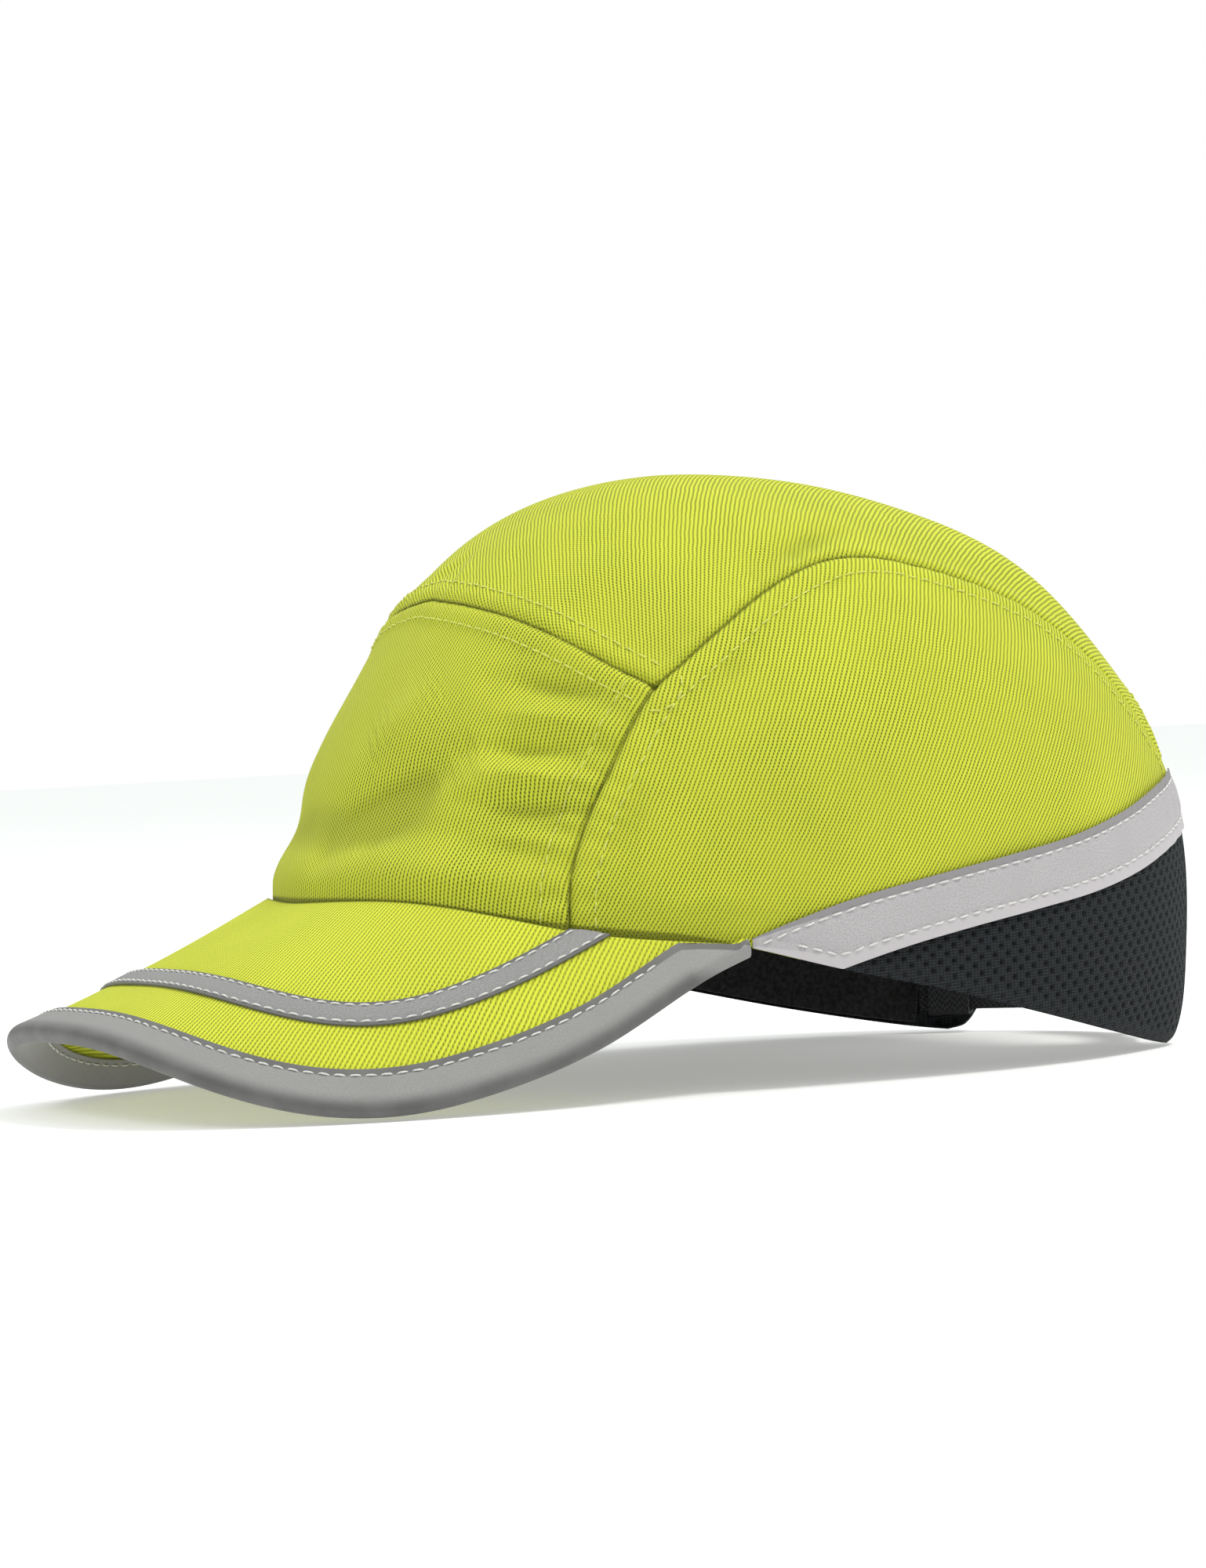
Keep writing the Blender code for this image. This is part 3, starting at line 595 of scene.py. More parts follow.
class Shader:
    """A material's node tree, with short ways to add the nodes that the cloths share."""

    def __init__(self, name, roughness, sheen=0.0, sheen_tint=(1, 1, 1), specular=0.3):
        self.material = bpy.data.materials.new(name)
        self.material.use_nodes = True
        self.tree = self.material.node_tree
        self.surface = self.tree.nodes["Principled BSDF"]
        self.surface.inputs["Roughness"].default_value = roughness
        self.surface.inputs["Sheen Weight"].default_value = sheen
        self.surface.inputs["Sheen Tint"].default_value = (*sheen_tint, 1)
        self.surface.inputs["Specular IOR Level"].default_value = specular

    def node(self, kind, **settings):
        made = self.tree.nodes.new(kind)
        for key, value in settings.items():
            setattr(made, key, value)
        return made

    def join(self, source, target):
        self.tree.links.new(source, target)

    def math(self, operation, *values):
        made = self.node("ShaderNodeMath", operation=operation)
        for socket, value in zip(made.inputs, values):
            if isinstance(value, (int, float)):
                socket.default_value = value
            else:
                self.join(value, socket)
        return made.outputs[0]

    def plus(self, first, second):
        return self.math("ADD", first, second)

    def times(self, first, second):
        return self.math("MULTIPLY", first, second)

    def attribute(self, name):
        return self.node("ShaderNodeAttribute", attribute_name=name).outputs["Fac"]

    def object_place(self):
        return self.node("ShaderNodeTexCoord").outputs["Object"]

    def cloth(self, angle=0.0, wobble=0.0):
        """Cloth coordinates in millimetres, turned so that the first runs across the ribs."""
        uv = self.node("ShaderNodeUVMap", uv_map="Cloth").outputs[0]
        if wobble:
            uv = self.shaken(uv, wobble)
        turn = self.node("ShaderNodeVectorRotate", rotation_type="Z_AXIS")
        turn.inputs["Angle"].default_value = math.radians(angle)
        self.join(uv, turn.inputs["Vector"])
        split = self.node("ShaderNodeSeparateXYZ")
        self.join(turn.outputs[0], split.inputs[0])
        return split.outputs[0], split.outputs[1]

    def shaken(self, uv, wobble):
        """The coordinates pushed about a little, so that no rib is quite straight."""
        noise = self.noise(0.22, 2, uv, colour=True)
        shift = self.node("ShaderNodeVectorMath", operation="MULTIPLY_ADD")
        self.join(noise, shift.inputs[0])
        shift.inputs[1].default_value = (wobble, wobble, 0)
        self.join(uv, shift.inputs[2])
        return shift.outputs[0]

    def noise(self, scale, detail=3, vector=None, colour=False):
        made = self.node("ShaderNodeTexNoise")
        made.inputs["Scale"].default_value = scale
        made.inputs["Detail"].default_value = detail
        if vector is None:
            vector = self.node("ShaderNodeUVMap", uv_map="Cloth").outputs[0]
        self.join(vector, made.inputs["Vector"])
        return made.outputs["Color" if colour else "Fac"]

    def wave(self, value, pitch, phase=None):
        turns = self.times(value, 2 * math.pi / pitch)
        if phase is not None:
            turns = self.plus(turns, phase)
        return self.math("SINE", turns)

    def span(self, value, low, high, to_low=0.0, to_high=1.0):
        """The value's share of the way from low to high, with soft ends."""
        made = self.node("ShaderNodeMapRange", interpolation_type="SMOOTHSTEP")
        self.join(value, made.inputs["Value"])
        set_range(made, low, high, to_low, to_high)
        return made.outputs[0]

    def mix(self, share, first, second):
        made = self.node("ShaderNodeMix", data_type="RGBA")
        self.join(share, made.inputs[0])
        for socket, value in ((made.inputs[6], first), (made.inputs[7], second)):
            if isinstance(value, tuple):
                socket.default_value = (*value, 1)
            else:
                self.join(value, socket)
        return made.outputs[2]

    def tones(self, value, low, high, colour, first, second):
        """Two tones of a colour, shared out by a value."""
        return self.mix(self.span(value, low, high), shade(colour, first), shade(colour, second))

    def paint(self, colour):
        self.join(colour, self.surface.inputs["Base Color"])

    def bump(self, height, depth_mm, strength=1.0):
        made = self.node("ShaderNodeBump")
        made.inputs["Distance"].default_value = depth_mm * MM
        made.inputs["Strength"].default_value = strength
        self.join(height, made.inputs["Height"])
        self.join(made.outputs[0], self.surface.inputs["Normal"])


def set_range(node, *numbers):
    for key, number in zip(("From Min", "From Max", "To Min", "To Max"), numbers):
        node.inputs[key].default_value = number


def shade(colour, factor):
    return tuple(min(1.0, c * factor) for c in colour)


def twill(name, angle, hole_shade_share, painted_lightness):
    """Twill: raised ribs with a row of small dark holes between them, and painted shade in the
    holes, the rib valleys, the hollows and along the seams.
    """
    s = Shader(name, 0.82, sheen=0.12, sheen_tint=(0.85, 0.95, 0.4), specular=0.25)
    across_ribs, along_ribs = s.cloth(90 - angle, wobble=0.5)
    rib = s.wave(across_ribs, TWILL_PITCH)
    yarn = s.wave(along_ribs, YARN_PITCH, s.times(across_ribs, math.pi / TWILL_PITCH))
    valley = s.span(rib, 0.3, -0.9)
    # The holes between the ribs are painted dark as painted shade in the gaps, in a share that each
    # panel sets.
    gap = s.times(valley, s.span(yarn, -0.5, 0.75))
    patchy = s.span(s.noise(0.05, 3), 0.3, 0.7, 0.65, 1.0)
    holes = s.times(s.times(gap, patchy), hole_shade_share)
    # Painted light: each panel's lime is made lighter or darker for how it faces the lamps.
    lime = shade(LIME, painted_lightness)
    tone = s.tones(s.noise(0.03, 4), 0.3, 0.7, lime, 0.95, 1.05)
    # Painted shade in the valleys between the ribs.
    ribbed = s.mix(valley, tone, shade(lime, 0.62))
    # Painted shade in the cloth's hollows, darker where its relief sinks deeper.
    hollow = s.span(s.attribute("relief"), 0.3, -1.5, 0.0, 0.5)
    ribbed = s.mix(hollow, ribbed, shade(lime, 0.5))
    s.paint(s.mix(holes, s.mix(seam_shadow(s), ribbed, shade(LIME, 0.30)), LIME_HOLE_SHADE))
    s.bump(s.plus(s.times(rib, 0.5), s.times(yarn, 0.22)), 0.12, 0.75)
    return s.material


def seam_shadow(s):
    """How dark the last 0.75 mm of a panel is, where it turns in to the seam."""
    return s.span(s.attribute("edge_distance"), 0.75, 0.1, 0.0, 0.85)


def reflective(name, colour, width, low, high):
    """Glass-bead tape: fine glitter between two borders, each given as (width, tone)."""
    s = Shader(name, 0.55, sheen=0.1, specular=0.5)
    beads, clouds = s.noise(2.6, 2), s.noise(0.08, 3)
    tone = s.tones(beads, 0.3, 0.7, colour, 0.84, 1.16)
    tone = s.mix(s.span(clouds, 0.35, 0.7, 0, 0.35), tone, shade(colour, 0.88))
    _, up = s.cloth()
    # Each border beyond its stitching gets its own tone; on the side tapes the lower border is
    # painted light and the upper one painted shade.
    tone = s.mix(s.span(up, low[0], low[0] - 0.4), tone, shade(colour, low[1]))
    top = width - high[0]
    s.paint(s.mix(s.span(up, top, top + 0.4), tone, shade(colour, high[1])))
    s.bump(s.plus(beads, clouds), 0.05, 0.5)
    return s.material


def binding_material(name):
    """Grey tape that is darker between its inner edge and the stitching, with painted shade under
    the fold, where the tape faces down.
    """
    s = Shader(name, 0.6, sheen=0.1, specular=0.4)
    beads, clouds = s.noise(2.4, 2), s.noise(0.09, 3)
    tone = s.tones(beads, 0.3, 0.7, BINDING_GREY, 0.92, 1.09)
    _, up = s.cloth()
    tone = s.mix(s.span(up, 2.1, 1.7), tone, shade(BINDING_GREY, 0.45))
    # Painted shade under the fold, where the tape turns to face down.
    fold = s.times(s.span(up, 6.0, 10.5), s.span(up, 16.5, 13.5))
    tone = s.mix(fold, tone, shade(BINDING_GREY, 0.38))
    s.paint(s.mix(s.span(clouds, 0.35, 0.7, 0, 0.3), tone, shade(BINDING_GREY, 0.85)))
    s.bump(beads, 0.05, 0.5)
    return s.material


def knit(name):
    """Birdseye knit: small loops in columns, nearly black, with painted highlights on the raised
    yarn, painted shade between the loops and painted shade in the holes.
    """
    s = Shader(name, 0.75, sheen=0.04, sheen_tint=(0.7, 0.8, 0.9), specular=0.22)
    u, v = s.cloth(wobble=0.25)
    loops = s.wave(v, 0.7, s.math("ABSOLUTE", s.wave(u, 2.0)))
    yarn = s.plus(s.times(loops, 0.5), s.times(s.wave(u, 1.0), 0.3))
    # Painted highlight where the yarn rises and painted shade where it sinks.
    knitted = s.tones(yarn, -0.6, 0.7, MESH_BLACK, 0.4, 1.7)
    # The birdseye holes take painted shade, a tenth of the knit's black.
    s.paint(s.mix(birdseye_hole_shade(s), knitted, shade(MESH_BLACK, 0.10)))
    s.bump(yarn, 0.2, 1.0)
    return s.material


def birdseye_hole_shade(s):
    """Painted shade in the same holes as the mesh's own relief, for its colour."""
    u, v = s.cloth()
    row = s.math("ROUND", s.math("DIVIDE", v, HOLE_ROW))
    shift = s.times(s.math("FLOORED_MODULO", row, 2.0), 0.5)
    place = s.math("SUBTRACT", s.math("DIVIDE", u, HOLE_PITCH), shift)
    du = s.times(s.math("SUBTRACT", place, s.math("ROUND", place)), HOLE_PITCH)
    dv = s.math("SUBTRACT", v, s.times(row, HOLE_ROW))
    reach = s.math("SQRT", s.plus(s.math("POWER", du, 2.0), s.math("POWER", dv, 2.0)))
    return s.span(reach, 0.95, 0.45)


def woven(name, colour, pitch=0.9, lift=0.6, depth=0.12):
    """Plain weave for tapes and webbing, painted lighter where the weave rises and darker where it
    sinks, as painted highlight and shade.
    """
    s = Shader(name, 0.8, sheen=0.08, specular=0.25)
    u, v = s.cloth(wobble=0.15)
    first = s.wave(u, pitch, s.times(s.wave(v, 2 * pitch), 1.4))
    weave = s.times(first, s.wave(v, pitch * 0.8))
    # Painted highlight on the raised yarns and painted shade between them.
    s.paint(s.tones(weave, -0.8, 0.8, colour, 1 - lift, 1 + lift))
    s.bump(weave, depth, 0.8)
    return s.material


def fuzzy(name, colour, scale, depth, sheen, spread=0.5):
    """Towelling, loop tape and foam: an irregular grain on the object's own coordinates."""
    s = Shader(name, 0.9, sheen=sheen, specular=0.2)
    grain = s.noise(scale, 4, s.object_place())
    s.paint(s.tones(grain, 0.3, 0.7, colour, 1 - spread, 1 + spread))
    s.bump(grain, depth, 0.9)
    return s.material


def moulded(name, colour, roughness):
    """Moulded plastic with a fine spark-eroded grain and faint scuffs."""
    s = Shader(name, roughness, specular=0.5)
    place = s.object_place()
    grain, scuffs = s.noise(1400, 3, place), s.noise(38, 5, place)
    s.paint(s.mix(s.span(scuffs, 0.45, 0.75), colour, shade(colour, 1.5)))
    s.bump(grain, 0.04, 0.5)
    return s.material


def thread(name, colour):
    """Sewing thread with a fine twist."""
    s = Shader(name, 0.6, sheen=0.2, specular=0.35)
    twist = s.noise(2600, 2, s.object_place())
    s.paint(s.tones(twist, 0.3, 0.7, colour, 0.8, 1.1))
    s.bump(twist, 0.05, 0.6)
    return s.material


# ---------------------------------------------------------------- crown

def relief_of(points, seams, creases):
    """Seams is a list of (edge path, stitch distance, pucker)."""
    total = np.zeros(points.shape[:-1])
    for path, stitch, pucker in seams:
        distance, along = distance_to(points, dense(path))
        total += seam_relief(distance, along, stitch, pucker)
    for start, end, width, height in creases:
        total += crease(points, start, end, width, height)
    return total


def slow_waves(points, height=0.22):
    """The uneven lie of cloth between its seams."""
    x, y, z = np.moveaxis(points, -1, 0)
    first = np.sin(x / 13.1 + 1.3 * np.sin(z / 17.3)) * np.sin(y / 15.7 + z / 21.1)
    return height * (first + 0.5 * np.sin((y - z) / 8.9 + np.sin(x / 11.0)))


def fade_from(points, *paths, over=8.0):
    """0 on the paths, rising to 1 away from them."""
    share = np.ones(points.shape[:-1])
    for path in paths:
        share = np.minimum(share, step_up(distance_to(points, dense(path, 2.0))[0], 0, over))
    return share


def cloth_panel(name, d, seams, creases, extra, finish, middle, right, node, meets_visor=True):
    """A sewn panel of the crown. Seams is a list of (edge, stitch distance, pucker)."""
    base, normal = crown_point(d), crown_normal(d)
    paths = {"bottom": base[0], "top": base[-1], "left": base[:, 0], "right": base[:, -1]}
    listed = [(paths[edge], stitch, pucker) for edge, stitch, pucker in seams]
    relief = relief_of(base, listed, creases) + extra(base, paths)
    relief += slow_waves(base) * fade_from(base, *paths.values())
    too_deep = DEEPEST_HOLLOW + 0.1 * (relief - DEEPEST_HOLLOW)
    relief = np.where(relief < DEEPEST_HOLLOW, too_deep, relief)
    outer = base + relief[..., None] * normal
    uv = cloth_coordinates(d, middle, right)
    made = thick_sheet(name, outer, outer - CLOTH * normal, finish, "cap", "lime_twill", node, uv)
    distances = {edge: distance_to(base, dense(path))[0] for edge, path in paths.items()}
    shown = dict(distances)
    if meets_visor:
        shown["bottom"] = np.maximum(0, distances["bottom"] - hidden_foot(d))
    # The edge distances give the twill its painted seam shadow, leaving out the foot hidden behind
    # the visor, and the relief gives it painted shade in the hollows.
    mark(made, "edge_distance", np.minimum.reduce(list(shown.values())))
    mark(made, "relief", relief)
    return outer, normal, distances


def hidden_foot(d):
    """How much of a panel's foot runs down behind the visor, in millimetres."""
    azimuth = np.degrees(np.arctan2(d[..., 1], d[..., 0]))
    return MM_PER_DEGREE * (rim_elevation(azimuth) - foot_elevation(azimuth))


def mark(made, name, values):
    """Gives a material a value in millimetres at each point of a thick sheet's grid."""
    layer = made.data.attributes.new(name, "FLOAT", "POINT")
    layer.data.foreach_set("value", np.tile(values.ravel(), 2).astype(np.float32))


def stitch_row(made, edge, stitch):
    """A row of stitching along one edge of a panel."""
    outer, normal, distances = made
    turned = {
        "bottom": lambda grid: grid,
        "top": lambda grid: grid[::-1],
        "left": lambda grid: np.swapaxes(grid, 0, 1),
        "right": lambda grid: np.swapaxes(grid, 0, 1)[::-1],
    }[edge]
    others = [turned(grid) for key, grid in distances.items() if key != edge]
    return inset_line(turned(outer), turned(normal), turned(distances[edge]), stitch, others)


# Creases as (start, end, width, height) and swellings as (place, width, height)
FRONT_CREASES = (
    ((-62, 36), (-40, 32), 2.8, -1.9), ((-60, 31), (-43, 29), 2.2, 1.5),
    ((-64, 26), (-43, 25), 2.8, -2.4), ((-60, 22.5), (-45, 21), 2.0, 1.8),
    ((-64, 19), (-45, 17), 2.4, -2.1), ((-60, 14.5), (-47, 13), 2.0, 1.3),
    ((-86, 13), (-58, 28), 7.0, -3.0), ((-86, 25), (-68, 36), 8.0, 1.8),
    ((-80, 11), (-52, 9), 5.0, 1.0),
)
CROWN_CREASES = (
    ((-80, 52), (-86, 59), 1.8, 0.5), ((-84, 52), (-91, 60), 1.6, -0.5),
    ((-60, 49), (-70, 62), 4.0, -0.7), ((-52, 46), (-34, 58), 6.5, 0.9),
    ((-10, 51), (12, 58), 3.0, -0.9), ((-14, 53), (6, 62), 3.4, 0.9),
    ((-2, 54), (22, 58), 2.6, -0.6),
)
SIDE_CREASES = (
    ((-8, 46), (10, 49), 2.4, -0.5), ((-26, 33), (-18, 38), 3.0, -0.4),
    ((-44, 10), (-34, 22), 4.5, -0.6), ((-40, 3), (-22, 6), 4.0, 0.4),
)
FRONT_SWELLS = (((-119, 24), 21.0, 2.6), ((-61, 24), 21.0, 2.6), ((-90, 30), 26.0, 0.8))
CROWN_SWELLS = (
    ((63, 47), 26.0, 2.3), ((117, 47), 26.0, 2.3), ((-117, 66), 30.0, 0.9), ((-63, 66), 30.0, 0.9),
)
MESH_SWELLS = (((60, -19), 15.0, 2.2),)


def swells(points, places):
    """Rounded swellings about (azimuth, elevation) places, each with its width and height."""
    total = np.zeros(points.shape[:-1])
    for place, width, height in places:
        gap = np.linalg.norm(points - crown_point(direction(*place)), axis=-1)
        total += height * bell(gap, width)
    return total


def mirrored(creases, share=1.0):
    """The creases on the other side of the cap, with a share of their height."""
    return tuple(((180 - a, e), (180 - b, f), w, share * h) for (a, e), (b, f), w, h in creases)


def front_swell(points, paths):
    """The foot of the front panel stands out over the visor, with a hollow above it."""
    up = distance_to(points, dense(paths["bottom"]))[0]
    edge = fade_from(points, paths["left"], paths["right"], over=14.0)
    foot = (0.9 * bell(up - 8, 6.5) - 1.5 * bell(up - 20, 7.0)) * (0.35 + 0.65 * edge)
    return foot + swells(points, FRONT_SWELLS) * edge


def tuck_under_tape(points, paths):
    """The side panel lies flat where the tape covers it."""
    up = distance_to(points, dense(paths["bottom"]))[0]
    return -0.25 * (1 - step_up(up, 6, 11))


def crown_swell(points, paths):
    """The rear of the crown is fuller than the plain dome, fading out towards its seams."""
    fade = fade_from(points, paths["left"], paths["right"], over=16.0)
    return swells(points, CROWN_SWELLS) * fade


def build_front_and_crown(lime, upright_lime, lime_thread):
    front, side = spline(FRONT_SEAM), spline(SIDE_SEAM)
    front_top = line(-180 - TOP_CORNER, TOP_CORNER, front_top_elevation)
    rim = line(-180 - VISOR_CORNER, VISOR_CORNER, foot_elevation)
    seams = (("top", FRONT_TOPSTITCH, 0.10), ("left", TOPSTITCH, 0.22), ("right", TOPSTITCH, 0.22))
    made = cloth_panel(
        "front_panel_cloth", patch(rim, front_top, across(front), front, 190, 74), seams,
        FRONT_CREASES + mirrored(FRONT_CREASES[:6], 0.45), front_swell, upright_lime,
        direction(-90, 28), (1, 0, 0), "front_panel",
    )
    rows = [stitch_row(made, edge, stitch) for edge, stitch, _ in seams]
    seams = (
        ("bottom", FRONT_TOPSTITCH, 0.14), ("left", 2.0, 0.10), ("right", 2.0, 0.10),
        ("top", OPENING_STITCH, 0.12),
    )
    made = cloth_panel(
        "crown_panel_cloth", patch(front_top, opening_arch, across(side), side, 150, 190), seams,
        CROWN_CREASES + mirrored(CROWN_CREASES), crown_swell, lime,
        direction(90, 82), (0, 1, 0), "crown_panel", meets_visor=False,
    )
    rows += [stitch_row(made, "bottom", FRONT_TOPSTITCH), stitch_row(made, "top", OPENING_STITCH)]
    add_lime_stitches("crown_stitches", rows, lime_thread)


def build_sides(lime, lime_thread):
    front, side = spline(FRONT_SEAM), spline(SIDE_SEAM)
    bottom = line(VISOR_CORNER, OPENING_EDGE, side_bottom)
    rear = spline(((OPENING_EDGE, 9.9), OPENING_TOP[0]))
    grid = patch(bottom, side, front, rear, 210, 92)
    seams = (("top", TOPSTITCH, 0.10), ("left", TOPSTITCH, 0.12))
    for (name, flip), creases in zip(SIDES, (SIDE_CREASES, mirrored(SIDE_CREASES))):
        made = cloth_panel(
            f"side_panel_{name}_cloth", grid * flip, seams, creases, tuck_under_tape, lime,
            direction(12, 22) * flip, (0, flip[0], 0), f"side_panel_{name}",
        )
        rows = [stitch_row(made, edge, stitch) for edge, stitch, _ in seams]
        add_lime_stitches(f"side_stitches_{name}", rows, lime_thread)


def add_lime_stitches(name, rows, lime_thread):
    add_stitches(name, rows, lime_thread, "cap", length=2.6, gap=0.7, radius=0.2)


# ---------------------------------------------------------------- tape and mesh

def build_tapes(tape, white):
    azimuth = np.linspace(TAPE_FRONT_AZIMUTH, OPENING_EDGE + 0.4, 261)
    low = np.maximum(smooth(azimuth, TAPE_BOTTOM), rim_elevation(azimuth) + 0.1)
    high = smooth(azimuth, TAPE_TOP)
    share = np.linspace(0, 1, 29)[:, None]
    base = direction(azimuth, low + (high - low) * share)
    for name, flip in SIDES:
        d = base * flip
        lengths = surface_lengths(crown_point(d))
        along, up, width = lengths[..., 0], lengths[..., 1], lengths[-1:, :, 1]
        from_top = width - up
        from_low_row, from_high_row = up - TAPE_STITCH_LOW, from_top - TAPE_STITCH_HIGH
        puff = 0.22 * step_up(up, 3, 5.5) * step_up(from_top, 2, 4)
        seams = -0.16 * (bell(from_low_row, 0.7) + bell(from_high_row, 0.7))
        rear = step_up(azimuth, 46, 60) * 0.16 * np.sin(along / 1.15)
        pucker = 0.07 * np.sin(along / 0.62) * (bell(from_low_row, 1.6) + bell(from_high_row, 1.6))
        lift = 0.72 + puff + seams + rear + pucker
        outer, inner = crown_layer(d, lift), crown_layer(d, lift - 0.38)
        uv = np.stack([along, up * TAPE_WIDTH / np.maximum(width, 1e-6)], -1)
        thick_sheet(f"side_tape_{name}", outer, inner, tape, "cap", "grey_reflective",
                    f"reflective_tape_{name}", uv)
        normal = crown_normal(d)
        rows = [
            tape_row(outer, normal, from_top, TAPE_STITCH_HIGH, width[0] > 2.5),
            tape_row(outer, normal, up, TAPE_STITCH_LOW, width[0] > 7.5),
        ]
        add_stitches(f"side_tape_stitches_{name}", rows, white, "cap")


def tape_row(outer, normal, distance, stitch, kept):
    """Stitching a set distance in from one edge of the tape, where the tape is wide enough."""
    row = np.abs(distance - stitch).argmin(axis=0)
    column = np.arange(outer.shape[1])
    inside = kept & (np.abs(distance[row, column] - stitch) < 0.5)
    picked = np.concatenate([outer[row, column], normal[row, column]], -1)[inside]
    for axis in range(3):
        padded = np.pad(picked[:, axis], 4, mode="edge")
        picked[:, axis] = np.convolve(padded, np.ones(9) / 9, "valid")
    return picked


def build_mesh_panels(knitted):
    hem = line(MESH_FRONT_AZIMUTH, HEM_END, rim_elevation)
    seam = line(MESH_FRONT_AZIMUTH, OPENING_EDGE, lambda a: tape_middle(a) - 0.1)
    grid = patch(hem, seam, mesh_front, spline(MESH_REAR), 300, 104)
    for name, flip in SIDES:
        d = grid * flip
        base, normal = crown_point(d), crown_normal(d)
        uv = cloth_coordinates(d, direction(28, -6) * flip, (0, flip[0], 0))
        edge = [distance_to(base, dense(path))[0] for path in (base[0], base[:, -1])]
        rolled = np.minimum(*edge)
        holes = birdseye(uv) * step_up(rolled, 2.0, 4.0)
        relief = -0.55 * holes - 0.5 * bell(rolled, 0.7) + 0.25 * bell(rolled - 1.6, 1.3) - 0.12
        relief += swells(base * flip, MESH_SWELLS)
        outer = base + relief[..., None] * normal
        thick_sheet(f"mesh_{name}", outer, outer - MESH_CLOTH * normal, knitted, "cap",
                    "black_mesh", f"mesh_panel_{name}", uv)


def birdseye(uv):
    """1 in the middle of each hole. Every other row is shifted by half a hole's pitch."""
    row = np.round(uv[..., 1] / HOLE_ROW)
    across_row = uv[..., 0] / HOLE_PITCH - 0.5 * (row % 2)
    u = (across_row - np.round(across_row)) * HOLE_PITCH
    v = uv[..., 1] - row * HOLE_ROW
    return bell(np.hypot(u, v), 0.72)


# ---------------------------------------------------------------- lining

def build_lining(lining, terry, white_label, thread_grey):
    for name, flip in SIDES:
        band = ribbon(spline(SIDE_SEAM), 0.02, 0.82) * flip
        add_lining(f"seam_tape_{name}", band, (-1.6, -2.0), lining)
    front_top = line(-180 - TOP_CORNER, TOP_CORNER, front_top_elevation)
    add_lining("front_seam_tape", ribbon(front_top, 0.1, 0.9), (-1.9, -2.3), lining)
    build_facing(lining)
    build_sweatband(terry, thread_grey)
    label = direction(np.linspace(84, 96, 30), np.linspace(33, 41, 20)[:, None])
    wavy = -1.6 + 0.15 * np.sin(np.linspace(0, 7, 30))[None] * np.ones((20, 1))
    add_lining("care_label", label, (wavy, wavy - 0.3), white_label)


def add_lining(node, d, offsets, finish):
    crown_sheet(node + "_cloth", d, offsets, finish, "cap", "lining_tape", node)


def ribbon(centre, start, end, half_width=3.6, count=90):
    """A band of directions along a curve, half_width in degrees to each side."""
    middle = centre(np.linspace(start, end, count + 1))
    side = unit(np.cross(middle, np.gradient(middle, axis=0))) * math.radians(half_width)
    share = np.linspace(-1, 1, 9)[:, None, None]
    return unit(middle[None] + side[None] * share)


def build_facing(lining):
    knots = np.array([(OPENING_EDGE, e) for e in (-17, -6, 5)] + list(OPENING_TOP))
    knots = np.concatenate([knots, [(180 - a, e) for a, e in knots[-2::-1]]])
    edge = even(knots, 160)
    away = edge + 5.5 * unit(edge - [90, -8])
    share = np.linspace(0, 1, 9)[:, None, None]
    band = edge * (1 - share) + away * share
    d = direction(band[..., 0], band[..., 1])
    add_lining("opening_facing", d, (-1.3, -1.7), lining)


def build_sweatband(terry, thread_grey):
    azimuth = np.linspace(-234, 54, 481)
    share = np.linspace(0, 1, 25)[:, None]
    d = direction(azimuth, rim_elevation(azimuth) + 0.4 + 16.6 * share)
    along = np.linspace(0, 460, 481)
    swell = np.sin(math.pi * share) ** 0.5
    towel = 0.10 * np.sin(along / 0.9) * np.sin(share * 60) + 0.12 * np.sin(along / 7.0)
    inner = crown_layer(d, -2.9 - (0.9 + towel) * swell)
    made = thick_sheet("sweatband_towelling", crown_layer(d, -2.6), inner, terry, "cap",
                       "sweatband_cloth", "sweatband")
    normal = -crown_normal(d)
    row = np.concatenate([inner[20], normal[20]], -1)
    add_stitches("sweatband_stitches", [row], thread_grey, "cap", length=2.6)


# ---------------------------------------------------------------- visor

def build_visor(visor_lime, board, strip_grey, binding_grey, white):
    azimuth = np.linspace(-25.5, -154.5, 361)
    foot = direction(azimuth, rim_elevation(azimuth) - 1.0)
    root = even(crown_layer(foot, 0.6)[:, :2], 241)
    edge = visor_edge(0.9, 241)
    share = np.linspace(0, 1, 61)[:, None, None]
    plan = root * (1 - share) + edge * share
    uv = np.stack([plan[..., 1], -plan[..., 0]], -1)
    wave = 0.06 * np.sin(plan[..., 0] / 6.1 + np.sin(plan[..., 1] / 9.0))
    layers = (
        ("visor_top_twill", COVER_OUTER + wave, COVER_INNER, visor_lime, "lime_twill",
         "visor_top_cover"),
        ("visor_under_twill", -COVER_INNER, -COVER_OUTER + wave, visor_lime, "lime_twill",
         "visor_under_cover"),
        ("visor_board_plate", BOARD_HALF, -BOARD_HALF, board, "visor_plastic", "visor_board"),
    )
    for name, top, bottom, finish, slot, node in layers:
        outer, inner = visor_layer(plan, top), visor_layer(plan, bottom)
        made = thick_sheet(name, outer, inner, finish, "cap", slot, node, uv)
        # The visor's twill covers get a painted seam shadow along their root, and a relief set so
        # that they get next to no painted hollow shade.
        mark(made, "edge_distance", 100 * share[..., 0] + np.zeros(plan.shape[:2]))
        mark(made, "relief", 0.3 + wave)
    build_strip(strip_grey, white)
    build_binding(binding_grey, white)


